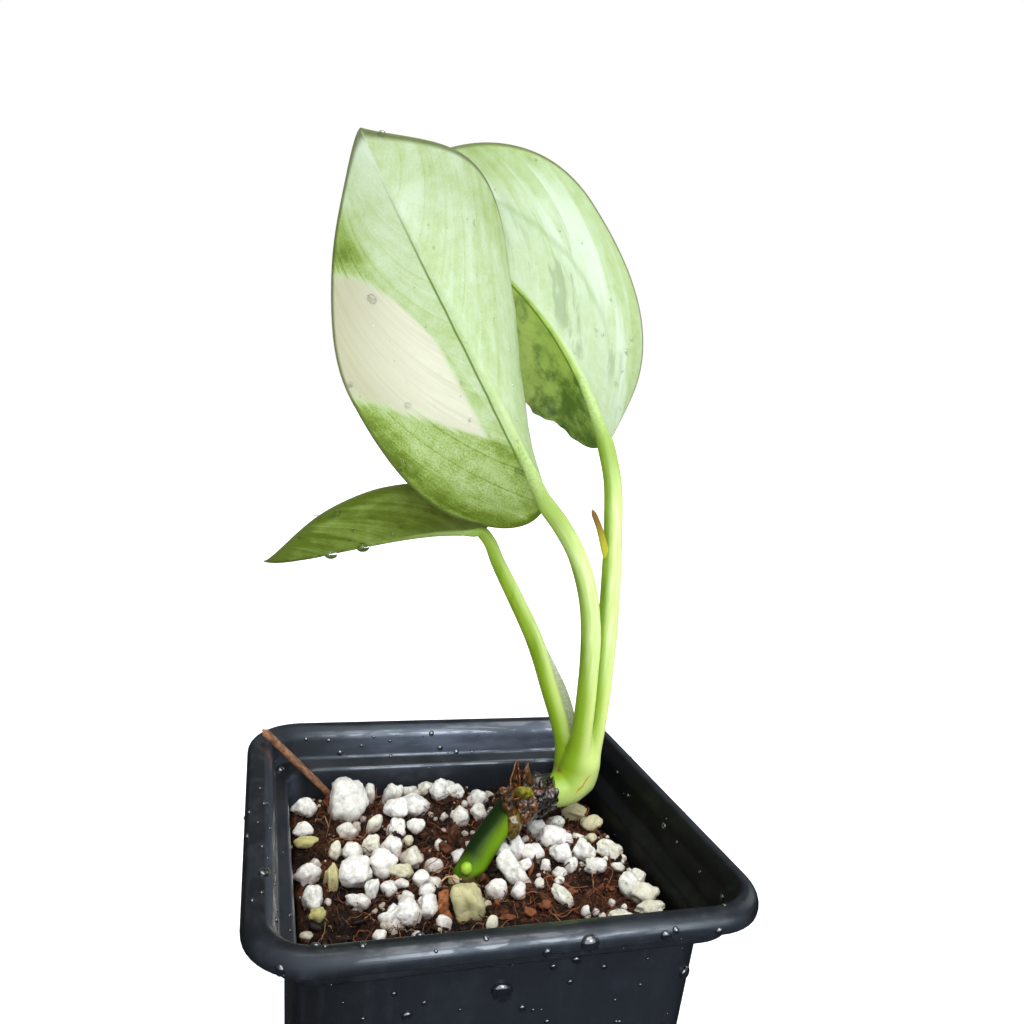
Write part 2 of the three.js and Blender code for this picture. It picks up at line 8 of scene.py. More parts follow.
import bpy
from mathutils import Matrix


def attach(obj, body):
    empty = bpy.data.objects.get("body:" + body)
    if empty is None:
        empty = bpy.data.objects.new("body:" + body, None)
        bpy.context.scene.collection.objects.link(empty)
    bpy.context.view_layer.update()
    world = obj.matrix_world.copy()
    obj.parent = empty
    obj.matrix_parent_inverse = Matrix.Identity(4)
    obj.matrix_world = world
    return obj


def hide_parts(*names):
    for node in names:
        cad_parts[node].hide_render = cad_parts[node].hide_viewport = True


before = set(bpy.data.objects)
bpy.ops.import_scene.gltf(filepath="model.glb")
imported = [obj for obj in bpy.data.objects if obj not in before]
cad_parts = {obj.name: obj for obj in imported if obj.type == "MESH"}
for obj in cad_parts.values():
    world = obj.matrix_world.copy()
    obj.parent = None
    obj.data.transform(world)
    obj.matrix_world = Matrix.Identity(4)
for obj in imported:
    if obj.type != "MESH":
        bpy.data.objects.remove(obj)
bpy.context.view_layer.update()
print("packed nodes:", sorted(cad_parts))

# %% [markdown]
# Blender works in metres and the plant is measured in millimetres, so every shape below is worked
# out in millimetres and scaled once, when its mesh is made. Random draws all come from seeded
# sources, so that the scene is the same each time it is run.

# %% Libraries and the unit
import math

import bmesh
import bpy
import numpy as np
from mathutils import Matrix, Vector, noise

MM = 0.001
scene = bpy.context.scene
scene.view_settings.view_transform = "Standard"

# %% [markdown]
# The camera comes first, because it settles how everything is judged. Its place was worked out from
# the pot: the rim is a square of known size, and only one viewpoint makes it look as it does. A
# camera is a matrix of three axes. Here they are built from the two angles in which it looks and
# the small roll with which it was held.

# %% Camera at the photograph's viewpoint
PHOTO_SIDE = 1024
FOCAL_PIXELS = 838.3
EYE = (-37.85, -131.45, 140.37)
TURN_RIGHT, TURN_DOWN, ROLL = (math.radians(a) for a in (17.03, 7.49, 5.12))

ahead = Vector((math.sin(TURN_RIGHT) * math.cos(TURN_DOWN),
                math.cos(TURN_RIGHT) * math.cos(TURN_DOWN), -math.sin(TURN_DOWN)))
level = Vector((math.cos(TURN_RIGHT), -math.sin(TURN_RIGHT), 0))
above = level.cross(ahead)
rightward = level * math.cos(ROLL) + above * math.sin(ROLL)
upward = above * math.cos(ROLL) - level * math.sin(ROLL)

camera = bpy.data.objects.new("camera", bpy.data.cameras.new("camera"))
camera.data.sensor_width = 36
camera.data.lens = camera.data.sensor_width * FOCAL_PIXELS / PHOTO_SIDE
camera.data.clip_start = 0.005
camera.matrix_world = Matrix.Translation(Vector(EYE) * MM) @ (
    Matrix((rightward, upward, -ahead)).transposed().to_4x4())
scene.collection.objects.link(camera)
scene.camera = camera
print(f"lens {camera.data.lens:.2f} mm")

# %% [markdown]
# Shader maths reads best as sums. A Wire wraps one output socket of a node, and adding or
# multiplying Wires adds the Math nodes that do it. Every other node comes from Wire.node, which sets
# the node's own settings before its sockets, because some settings change what the sockets are.

# %% A wrapper for shader sockets
class Wire:
    """One output socket of a shader tree, which can be used in sums."""

    def __init__(self, socket):
        self.socket = socket
        self.tree = socket.id_data

    @classmethod
    def node(cls, tree, kind, settings=None, sockets=None, out=0):
        made = tree.nodes.new("ShaderNode" + kind)
        for name, value in (settings or {}).items():
            if name == "stops":
                made.color_ramp.elements.remove(made.color_ramp.elements[1])
                for i, (at, colour) in enumerate(value):
                    stop = made.color_ramp.elements[0] if i == 0 else made.color_ramp.elements.new(at)
                    stop.position, stop.color = at, colour
            else:
                setattr(made, name, value)
        for key, value in (sockets or {}).items():
            if isinstance(value, Wire):
                tree.links.new(value.socket, made.inputs[key])
            else:
                made.inputs[key].default_value = value
        return cls(made.outputs[out])

    def math(self, operation, *values):
        return Wire.node(self.tree, "Math", {"operation": operation}, dict(enumerate(values)))

    def __add__(self, other):
        return self.math("ADD", self, other)

    def __radd__(self, other):
        return self.math("ADD", other, self)

    def __sub__(self, other):
        return self.math("SUBTRACT", self, other)

    def __rsub__(self, other):
        return self.math("SUBTRACT", other, self)

    def __mul__(self, other):
        return self.math("MULTIPLY", self, other)

    def __rmul__(self, other):
        return self.math("MULTIPLY", other, self)

    def __truediv__(self, other):
        return self.math("DIVIDE", self, other)

    def __pow__(self, other):
        return self.math("POWER", self, other)

    def __abs__(self):
        return self.math("ABSOLUTE", self)

    def larger(self, other):
        return self.math("MAXIMUM", self, other)

    def smaller(self, other):
        return self.math("MINIMUM", self, other)

    def rise(self, low, high):
        """0 below low and 1 above high, with a smooth step between; low may be the larger."""
        return Wire.node(self.tree, "MapRange", {"interpolation_type": "SMOOTHSTEP"},
                         {"Value": self, "From Min": low, "From Max": high})

    def wave(self, period):
        return self.math("SINE", self * (2 * math.pi / period))


def paint(red, green, blue):
    """A display colour, each part 0 to 255, as the linear colour that a shader takes."""
    def part(value):
        share = value / 255
        return share / 12.92 if share <= 0.04045 else ((share + 0.055) / 1.055) ** 2.4
    return (part(red), part(green), part(blue), 1)


def blend(mask, low, high):
    """One colour where the mask is 0, the other where it is 1."""
    tree = next(value.tree for value in (mask, low, high) if isinstance(value, Wire))
    return Wire.node(tree, "Mix", {"data_type": "RGBA"}, {0: mask, 6: low, 7: high}, out=2)


def millimetres(tree):
    """The place on the object in millimetres, so that every pattern has its size in them."""
    place = Wire.node(tree, "TexCoord", out="Object")
    return Wire.node(tree, "VectorMath", {"operation": "SCALE"}, {0: place, "Scale": 1 / MM})


def stretched(place, x, y, z):
    return Wire.node(place.tree, "VectorMath", {"operation": "MULTIPLY"}, {0: place, 1: (x, y, z)})


def cloud(place, size, detail=3, rough=0.55, twist=0):
    """Soft random values round 0.5 whose blots are about size wide."""
    return Wire.node(place.tree, "TexNoise", {}, {
        "Vector": place, "Scale": 1 / size, "Detail": detail, "Roughness": rough, "Distortion": twist})


def axes(vector):
    return [Wire.node(vector.tree, "SeparateXYZ", {}, {0: vector}, out=i) for i in range(3)]


def joined(x, y, z):
    tree = next(w.tree for w in (x, y, z) if isinstance(w, Wire))
    return Wire.node(tree, "CombineXYZ", {}, {0: x, 1: y, 2: z})


def relief(height, depth, strength=1.0):
    """A normal bent as if height, from 0 to 1, rose by depth millimetres."""
    return Wire.node(height.tree, "Bump", {}, {
        "Height": height, "Distance": depth * MM, "Strength": strength}, out="Normal")


def finish(name, surface):
    """A material whose surface(tree) returns its last shader."""
    material = bpy.data.materials.new(name)
    material.use_nodes = True
    tree = material.node_tree
    tree.nodes.clear()
    output = tree.nodes.new("ShaderNodeOutputMaterial")
    tree.links.new(surface(tree).socket, output.inputs["Surface"])
    print(f"finish {name}: {len(tree.nodes)} nodes")
    return material

# %% [markdown]
# The photograph was taken in soft light that comes mostly from above and a little from the right,
# with the plant cut out on white. A sun lamp with a very wide disc gives such light evenly, near and
# far, so the floor stays pale out to the horizon. The world is white where the camera sees it. As a
# light it is a dim sky with one soft bright window behind the viewer. Mirrored rays see a small pane in
# it that is far brighter, which wet plastic and water drops throw back as crisp white streaks. The floor is left out of mirrored rays, or it would turn the pot's sides grey.

# %% Light, backdrop and floor
KEY_STRENGTH, KEY_SPREAD = 2.2, 50
KEY_FROM = (-0.05, -0.35, 0.93)
RIM_STRENGTH, RIM_SPREAD = 0.3, 30
RIM_FROM = (0.9, 0.35, 0.42)
AMBIENT_LOW, AMBIENT_HIGH = 0.24, 0.72
WINDOW_FROM = (0.02, -0.95, 0.3)
WINDOW_STRENGTH = 2.4
PANE_FROM = (0.24, -0.88, 0.5)
PANE_STRENGTH = 10


def sun(name, from_direction, strength, spread, colour):
    lamp = bpy.data.objects.new(name, bpy.data.lights.new(name, "SUN"))
    lamp.data.energy = strength
    lamp.data.angle = math.radians(spread)
    lamp.data.color = colour
    lamp.rotation_mode = "QUATERNION"
    lamp.rotation_quaternion = Vector(from_direction).to_track_quat("Z", "Y")
    scene.collection.objects.link(lamp)


sun("key_light", KEY_FROM, KEY_STRENGTH, KEY_SPREAD, (1.0, 0.985, 0.96))
sun("side_light", RIM_FROM, RIM_STRENGTH, RIM_SPREAD, (0.94, 0.97, 1.0))

world = bpy.data.worlds.new("studio")
scene.world = world
world.use_nodes = True
world.node_tree.nodes.clear()
direction = Wire.node(world.node_tree, "TexCoord", out="Generated")
height_of_ray = axes(direction)[2]
towards_window = Wire.node(world.node_tree, "VectorMath", {"operation": "DOT_PRODUCT"}, {
    0: direction, 1: Vector(WINDOW_FROM).normalized()}, out="Value")
towards_pane = Wire.node(world.node_tree, "VectorMath", {"operation": "DOT_PRODUCT"}, {
    0: direction, 1: Vector(PANE_FROM).normalized()}, out="Value")
mirrored = Wire.node(world.node_tree, "LightPath", out="Is Glossy Ray")
window = towards_window.rise(0.6, 0.86) * height_of_ray.rise(0.02, 0.12)
pane = towards_pane.rise(0.978, 0.987) * mirrored
dome = AMBIENT_LOW + height_of_ray.rise(0.0, 0.9) * (AMBIENT_HIGH - AMBIENT_LOW)
nearer_side = 0.4 + 0.6 * axes(direction)[1].rise(0.6, -0.5)
ambient = dome * nearer_side * height_of_ray.rise(-0.05, 0.02) + window * WINDOW_STRENGTH + pane * PANE_STRENGTH + 0.03
seen = Wire.node(world.node_tree, "LightPath", out="Is Camera Ray")
backdrop = Wire.node(world.node_tree, "Background", {}, {"Color": (0.86, 0.93, 1, 1), "Strength": ambient})
white = Wire.node(world.node_tree, "Background", {}, {"Color": (1, 1, 1, 1), "Strength": 1.0})
shown = Wire.node(world.node_tree, "MixShader", {}, {0: seen, 1: backdrop, 2: white})
world_output = world.node_tree.nodes.new("ShaderNodeOutputWorld")
world.node_tree.links.new(shown.socket, world_output.inputs["Surface"])


def floor_surface(tree):
    speckle = cloud(millimetres(tree), 40)
    return Wire.node(tree, "BsdfPrincipled", {}, {
        "Base Color": blend(speckle, (0.93, 0.93, 0.93, 1), (0.95, 0.95, 0.95, 1)),
        "Roughness": 0.9, "Specular IOR Level": 0.0, "Emission Color": (1, 1, 1, 1),
        "Emission Strength": 0.38})


FLOOR_REACH = 6.0
floor_mesh = bpy.data.meshes.new("floor")
floor_bm = bmesh.new()
bmesh.ops.create_grid(floor_bm, x_segments=8, y_segments=8, size=FLOOR_REACH)
floor_bm.to_mesh(floor_mesh)
floor_bm.free()
floor = bpy.data.objects.new("floor", floor_mesh)
floor.location.z = -0.05 * MM
floor_mesh.materials.append(finish("floor_white", floor_surface))
scene.collection.objects.link(floor)
floor.visible_glossy = False

# %% [markdown]
# Most pieces here are skins over rings: a row of closed outlines, each joined to the next. It is how
# a pot, a stalk and a stem can all be described by what their cross section does along the way.
# Values that a shader needs later, such as how far along a leaf a point lies, are stored on the
# mesh's own points as attributes.

# %% Mesh helpers
def add_mesh(name, points, faces, values=None, smooth=True):
    """A mesh object from points in millimetres; values are named numbers or vectors a point each."""
    mesh = bpy.data.meshes.new(name)
    mesh.from_pydata((np.asarray(points, float) * MM).tolist(), [], faces)
    mesh.validate()
    for key, numbers in (values or {}).items():
        numbers = np.asarray(numbers, np.float32)
        kind, slot_name = ("FLOAT", "value") if numbers.ndim == 1 else ("FLOAT_VECTOR", "vector")
        mesh.attributes.new(key, kind, "POINT").data.foreach_set(slot_name, numbers.ravel())
    mesh.polygons.foreach_set("use_smooth", [smooth] * len(mesh.polygons))
    mesh.update()
    made = bpy.data.objects.new(name, mesh)
    scene.collection.objects.link(made)
    return made


def settle(made, surface, slot_name, *nodes):
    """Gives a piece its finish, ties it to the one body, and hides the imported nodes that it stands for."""
    if surface is not None:
        made.data.materials.append(surface)
    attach(made, "root")
    if nodes:
        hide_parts(*nodes)
    made.data.calc_loop_triangles()
    print(f"{made.name}: {len(made.data.loop_triangles)} triangles, size "
          + " x ".join(f"{d / MM:.1f}" for d in made.dimensions) + " mm")
    return made


def skin(rings, loop=False):
    """Points and faces over rings of equal length, closed at both ends or joined into a loop."""
    rings = np.asarray(rings, float)
    rows, count = rings.shape[:2]
    points = rings.reshape(-1, 3)
    faces = []
    for r in range(rows if loop else rows - 1):
        start, after = r * count, ((r + 1) % rows) * count
        for i in range(count):
            j = (i + 1) % count
            faces.append((start + i, start + j, after + j, after + i))
    if not loop:
        faces.append(tuple(range(count - 1, -1, -1)))
        faces.append(tuple(range((rows - 1) * count, rows * count)))
    return points, faces


def gathered(parts):
    """Several (points, faces) as one, for small loose things that are one piece."""
    points, faces, start = [], [], 0
    for some_points, some_faces in parts:
        points.append(some_points)
        faces += [tuple(i + start for i in f) for f in some_faces]
        start += len(some_points)
    return np.concatenate(points), faces


def lerp(a, b, t):
    return a + (b - a) * t


def smooth_route(route, share):
    """Points of a centripetal Catmull-Rom curve at shares of its length, and its directions there."""
    p = np.asarray(route, float)
    padded = np.vstack([2 * p[0] - p[1], p, 2 * p[-1] - p[-2]])
    gaps = np.maximum(np.linalg.norm(np.diff(padded, axis=0), axis=1) ** 0.5, 1e-4)
    samples = []
    for i in range(len(p) - 1):
        a, b, c, d = padded[i:i + 4]
        g0, g1, g2 = gaps[i:i + 3]
        start = ((b - a) / g0 - (c - a) / (g0 + g1) + (c - b) / g1) * g1
        end = ((c - b) / g1 - (d - b) / (g1 + g2) + (d - c) / g2) * g1
        t = np.linspace(0, 1, 60, endpoint=False)[:, None]
        samples.append(b + start * t + (-3 * b + 3 * c - 2 * start - end) * t ** 2
                       + (2 * b - 2 * c + start + end) * t ** 3)
    dense = np.vstack([*samples, p[-1:]])
    lengths = np.concatenate([[0], np.cumsum(np.linalg.norm(np.diff(dense, axis=0), axis=1))])
    at = np.asarray(share) * lengths[-1]
    places = np.stack([np.interp(at, lengths, dense[:, k]) for k in range(3)], 1)
    slopes = np.gradient(dense, lengths, axis=0)
    ways = np.stack([np.interp(at, lengths, slopes[:, k]) for k in range(3)], 1)
    return places, ways / np.linalg.norm(ways, axis=1, keepdims=True)


def stem_rings(route, share, sides, half_sizes):
    """Oval rings square to a route. half_sizes(share, angle) gives the radius across and in depth."""
    places, ways = smooth_route(route, share)
    angle = np.linspace(0, 2 * np.pi, sides, endpoint=False)
    across = np.cross([0, 1, 0], ways)
    across /= np.linalg.norm(across, axis=1, keepdims=True)
    deep = np.cross(ways, across)
    wide, thick = half_sizes(np.asarray(share)[:, None], angle[None, :])
    return (places[:, None] + across[:, None] * (wide * np.cos(angle))[..., None]
            + deep[:, None] * (thick * np.sin(angle))[..., None])

# %% [markdown]
# The pot is thin moulded plastic: a tapered body, a small ledge, a wider collar, and a lip that is
# rolled over and turned down. One closed profile, swept round a rounded square, gives the inside and
# the outside together. Moulded plastic has no sharp edge, so every corner of the profile is cut back
# and rounded by its own radius before it is swept.

# %% The pot's profile
POT_HEIGHT = 72
RIM_HALF = 37.5
RIM_CORNER = 10.2
LIP_RADIUS = 2.2
LIP_DROP = 2.9
LIP_WIDTH = 4.9
COLLAR_DEPTH = 6.4
WALL = 0.9
BODY_TOP_HALF = 30.6
BODY_FOOT_HALF = 27.2
BODY_CORNER = 7
FLOOR_THICK = 1.2
LEDGE_DROP = 2.2
LEDGE_CORNER = 6
DRAIN_RADIUS = 3.2
DRAIN_OFFSET = 17.5
DRAIN_COUNT = 8

collar_inside = RIM_HALF - LIP_WIDTH
collar_foot = POT_HEIGHT - COLLAR_DEPTH
skirt = POT_HEIGHT - LIP_DROP


def rounded(profile, steps=5):
    """A profile of (half width, height, corner, rounding) with each corner cut back to a curve."""
    keys = np.asarray(profile, float)
    path = [keys[0, :3]]
    for before, here, after in zip(keys, keys[1:], keys[2:]):
        back, on = before[:3] - here[:3], after[:3] - here[:3]
        room = 0.45 * min(np.linalg.norm(back[:2]), np.linalg.norm(on[:2]))
        cut = min(here[3], room)
        if cut < 0.02:
            path.append(here[:3])
            continue
        first = here[:3] + back * cut / np.linalg.norm(back[:2])
        last = here[:3] + on * cut / np.linalg.norm(on[:2])
        for t in np.linspace(0, 1, steps):
            path.append((1 - t) ** 2 * first + 2 * t * (1 - t) * here[:3] + t * t * last)
    path.append(keys[-1, :3])
    return np.array(path)


def square_ring(half, corner, z, corner_steps=12, side_steps=9):
    """A rounded square, anticlockwise from above."""
    ring = []
    straight = half - corner
    for side in range(4):
        turn = Matrix.Rotation(side * math.pi / 2, 2)
        for i in range(corner_steps + 1):
            angle = i / corner_steps * math.pi / 2
            ring.append((*(turn @ Vector((straight + corner * math.cos(angle),
                                          straight + corner * math.sin(angle)))), z))
        for i in range(1, side_steps + 1):
            along = straight - 2 * straight * i / (side_steps + 1)
            ring.append((*(turn @ Vector((along, half))), z))
    return ring


outside = [
    (BODY_FOOT_HALF - 2.2, 0, BODY_CORNER - 1.5, 0),
    (BODY_FOOT_HALF, 0, BODY_CORNER, 0.9),
    (BODY_TOP_HALF, collar_foot - LEDGE_DROP, BODY_CORNER, 0.5),
    (collar_inside + WALL, collar_foot - WALL / 3, LEDGE_CORNER, 0.8),
    (collar_inside + WALL, POT_HEIGHT - WALL - 0.6, LEDGE_CORNER, 0.5),
    (RIM_HALF - WALL, POT_HEIGHT - WALL - 0.7, RIM_CORNER - WALL, 0.9),
    (RIM_HALF - WALL, skirt, RIM_CORNER - WALL, 0.3),
    (RIM_HALF - 0.1, skirt, RIM_CORNER - 0.1, 0.3),
]
lip = [(RIM_HALF - LIP_RADIUS * (1 - math.cos(a)), POT_HEIGHT - LIP_RADIUS * (1 - math.sin(a)),
        RIM_CORNER - LIP_RADIUS * (1 - math.cos(a)), 0) for a in np.radians(np.linspace(0, 88, 12))]
inside = [
    (collar_inside + 1.9, POT_HEIGHT - 0.15, LEDGE_CORNER + 1, 0.6),
    (collar_inside + 0.2, POT_HEIGHT - 1.7, LEDGE_CORNER - 0.4, 1.2),
    (collar_inside - 0.1, collar_foot + 0.2, LEDGE_CORNER - 0.6, 0.6),
    (BODY_TOP_HALF - WALL + 0.2, collar_foot - 1, BODY_CORNER - WALL, 0.7),
    (BODY_FOOT_HALF - WALL, FLOOR_THICK, BODY_CORNER - WALL, 0.8),
    (BODY_FOOT_HALF - WALL - 3, FLOOR_THICK, BODY_CORNER - WALL - 1.5, 0),
]
profile = rounded([*outside, *lip, *inside])
pot_points, pot_faces = skin([square_ring(*row[[0, 2, 1]]) for row in profile])
pot = add_mesh("pot_skin", pot_points, pot_faces)
print(f"profile of {len(profile)} rings")

# %% [markdown]
# Drain holes go through the floor of every nursery pot. They are cut by a Boolean modifier, whose
# result becomes the pot's own mesh, and the cutter is thrown away.

# %% Drain holes
def disc_rings(x, y, radius, low, high, sides=28):
    angle = np.linspace(0, 2 * np.pi, sides, endpoint=False)
    circle = np.stack([x + radius * np.cos(angle), y + radius * np.sin(angle)], 1)
    return [np.column_stack([circle, np.full(sides, z)]) for z in (low, high)]


drains = []
for i in range(DRAIN_COUNT):
    angle = i / DRAIN_COUNT * 2 * math.pi
    reach = DRAIN_OFFSET * (1 if i % 2 == 0 else 1.25)
    drains.append(skin(disc_rings(reach * math.cos(angle), reach * math.sin(angle), DRAIN_RADIUS, -2, 4)))
cutter = add_mesh("drain_cutter", *gathered(drains), smooth=False)
cut = pot.modifiers.new("drains", "BOOLEAN")
cut.object = cutter
cut.solver = "EXACT"
bpy.context.view_layer.update()
cut_mesh = bpy.data.meshes.new_from_object(pot.evaluated_get(bpy.context.evaluated_depsgraph_get()))
pot.modifiers.clear()
pot.data = cut_mesh
pot.data.name = "pot_skin"
bpy.data.objects.remove(cutter)
print(f"pot: {len(cut_mesh.polygons)} faces after cutting")

# %% [markdown]
# The plastic is black with a satin sheen. What makes it look real is what has happened to it: a fine
# orange-peel surface from the mould, a film of dried tap water that catches the light on the rim, and
# splashes of peat near the top. The film is a slightly lighter, rougher patchwork over the black. Near
# the rim a thin clear coat in patches is the wet of watering. Painted reflection is laid over the black
# as well: a patchy blue-grey inside the back wall and the left wall, and a lighter front face right of
# its middle. The wall on the right, inside, gets painted shade: a second shader, matt and darker.

# %% The pot's finish
def pot_surface(tree):
    place = millimetres(tree)
    x, y, z = axes(place)
    nx, ny, nz = axes(Wire.node(tree, "NewGeometry", out="Normal"))
    film = cloud(place, 9, 5, 0.62).rise(0.5, 0.72)
    streaks = cloud(stretched(place, 1, 1, 0.14), 2.2, 4, 0.6).rise(0.5, 0.75)
    specks = cloud(place, 0.55, 2, 0.7).rise(0.66, 0.72)
    near_rim = z.rise(POT_HEIGHT - 26, POT_HEIGHT)
    dust = (film * 0.4 + streaks * 0.25 + specks * 0.5) * (0.2 + near_rim * 0.5)
    splash = cloud(place, 1.4, 3, 0.7).rise(0.66, 0.74) * z.rise(POT_HEIGHT - 14, POT_HEIGHT - 5)
    # Painted sheen: the outer front face is made lighter right of its middle, for the window light that it reflects
    # there.
    painted_sheen_front = ny.rise(-0.7, -0.95) * x.rise(-29, -12) * 0.3
    black = blend((dust + painted_sheen_front).smaller(1), paint(11, 13, 17), paint(46, 50, 58))
    # Painted reflection: a patchy blue-grey is laid inside the back wall and the left wall, for the window light that
    # they throw back.
    cloudy = 0.5 + 0.5 * cloud(stretched(place, 0.35, 0.35, 1.6), 3, 4, 0.6).rise(0.3, 0.6)
    painted_reflection_back_wall = ny.rise(-0.35, -0.85) * y.rise(22, 28) * x.rise(-26, 0) * z.rise(62.5, 68)
    painted_reflection_left_wall = nx.rise(0.35, 0.85) * x.rise(-22, -28) * 0.4
    black = blend((painted_reflection_back_wall * cloudy + painted_reflection_left_wall * cloudy).smaller(1), black, paint(86, 92, 106))
    colour = blend(splash * 0.55, black, paint(50, 34, 24))
    peel = cloud(place, 0.9, 2, 0.5) * 0.6 + cloud(place, 0.16, 2, 0.5) * 0.4
    duller = x.rise(-12, -30) * ny.rise(-0.2, -0.6)
    wet = cloud(stretched(place, 0.3, 0.3, 1.3), 1.6, 3, 0.55).rise(0.42, 0.56)
    satin = Wire.node(tree, "BsdfPrincipled", {}, {
        "Base Color": colour, "Roughness": (0.34 + dust * 0.25 + splash * 0.3 + duller * 0.3).smaller(0.9),
        "Specular IOR Level": 0.5, "Specular Tint": (0.82, 0.9, 1, 1), "Coat Weight": wet * near_rim * (1 - duller) * 0.7,
        "Coat Roughness": 0.09, "Normal": relief(peel, 0.012)})
    # Painted shade: the wall on the right, inside, is turned from the light, so it gets a darker, matt shader with
    # little reflection.
    matt = Wire.node(tree, "BsdfPrincipled", {}, {
        "Base Color": blend(film, paint(5, 5, 5), paint(14, 14, 13)), "Roughness": 0.7,
        "Specular IOR Level": 0.1, "Normal": relief(peel, 0.012)})
    painted_shade_right_wall = nx.rise(0.05, -0.4) * x.rise(22, 27)
    return Wire.node(tree, "MixShader", {}, {0: painted_shade_right_wall * 0.92, 1: satin, 2: matt})


pot_black = finish("pot_black", pot_surface)
settle(pot, pot_black, "pot_plastic", "nursery_pot")

# %% [markdown]
# The filling is what a grower calls a mix: dark peat and coir with white perlite stirred in. Its bed
# is a closed body with a lumpy top. The lumps come from the same few waves as the solid model's, with
# layers of noise on top, so that the bed stays where the solid is and is only finer.

# %% The bed of mix
MIX_LEVEL = 60.4
MIX_CLEARANCE = 0.3
mix_corner = BODY_CORNER - WALL - MIX_CLEARANCE


def mix_height(x, y):
    swell = 0.7 * math.sin(x * 0.31 + 1.1) * math.cos(y * 0.27 - 0.4)
    crumb = 0.35 * math.sin(x * 0.83 + y * 0.55) + 0.3 * math.cos(y * 0.91 - x * 0.37)
    return MIX_LEVEL + swell + crumb + 0.012 * x - 0.012 * y


def mix_surface_height(x, y):
    clods = noise.fractal(Vector((x * 0.45, y * 0.45, 3)), 0.8, 2.1, 4)
    crumbs = noise.fractal(Vector((x * 1.7, y * 1.7, 9)), 0.7, 2.2, 3)
    return mix_height(x, y) - 0.75 + 1.0 * clods + 0.5 * crumbs


def inner_half_at(z):
    foot, top = BODY_FOOT_HALF - WALL, BODY_TOP_HALF - WALL
    return lerp(foot, top, (z - FLOOR_THICK) / (collar_foot - LEDGE_DROP - FLOOR_THICK))


mix_edge = inner_half_at(MIX_LEVEL - 2) - MIX_CLEARANCE
mix_foot = FLOOR_THICK + MIX_CLEARANCE
bed_rings = [square_ring(inner_half_at(mix_foot) - MIX_CLEARANCE, mix_corner, mix_foot, 10, 30),
             square_ring(mix_edge, mix_corner, MIX_LEVEL - 2, 10, 30)]
BED_STEPS = 78
for i in range(BED_STEPS):
    share = 1 - i / BED_STEPS
    ring = square_ring(mix_edge * share, mix_corner * share, 0, 10, 30)
    sink = 0.6 if i == 0 else 0
    bed_rings.append([(x, y, mix_surface_height(x, y) - sink) for x, y, _ in ring])
bed = add_mesh("mix_bed", *skin(bed_rings))


def bed_surface(tree):
    place = millimetres(tree)
    patch = cloud(place, 5, 4, 0.6).rise(0.42, 0.62)
    crumb = cloud(place, 0.8, 4, 0.65)
    fibre = cloud(stretched(place, 0.35, 2.2, 1.6), 1.0, 4, 0.7, 1.2).rise(0.55, 0.68)
    x, y, _ = axes(place)
    front_left = y.rise(-6, -16) * x.rise(4, -8)
    peat = blend(crumb.rise(0.4, 0.7), paint(6, 4, 2), paint(32, 19, 11))
    coir = blend(crumb.rise(0.38, 0.68), paint(28, 13, 6), paint(112, 64, 38))
    colour = blend(patch * 0.75 * (1 - 0.8 * front_left), peat, coir)
    colour = blend(fibre * (0.5 - 0.35 * front_left), colour, paint(134, 80, 48))
    return Wire.node(tree, "BsdfPrincipled", {}, {
        "Base Color": colour, "Roughness": 0.78 - crumb * 0.2, "Specular IOR Level": 0.15,
        "Normal": relief(crumb * 0.7 + cloud(place, 0.25, 3, 0.7) * 0.3, 0.5)})


mix_brown = finish("mix_brown", bed_surface)
settle(bed, mix_brown, "potting_mix", "potting_mix")

# %% [markdown]
# Perlite is volcanic glass popped like corn: each grain is a rounded lump with a few flat, broken
# sides. A grain here is a fine ball whose radius is cut down by random planes and then roughened with
# noise. Where the photograph shows a grain, it is placed by looking: a ray from the camera through
# that point of the picture is followed down to the bed. Others are strewn where there is room, in the
# loose clusters that stirring leaves.

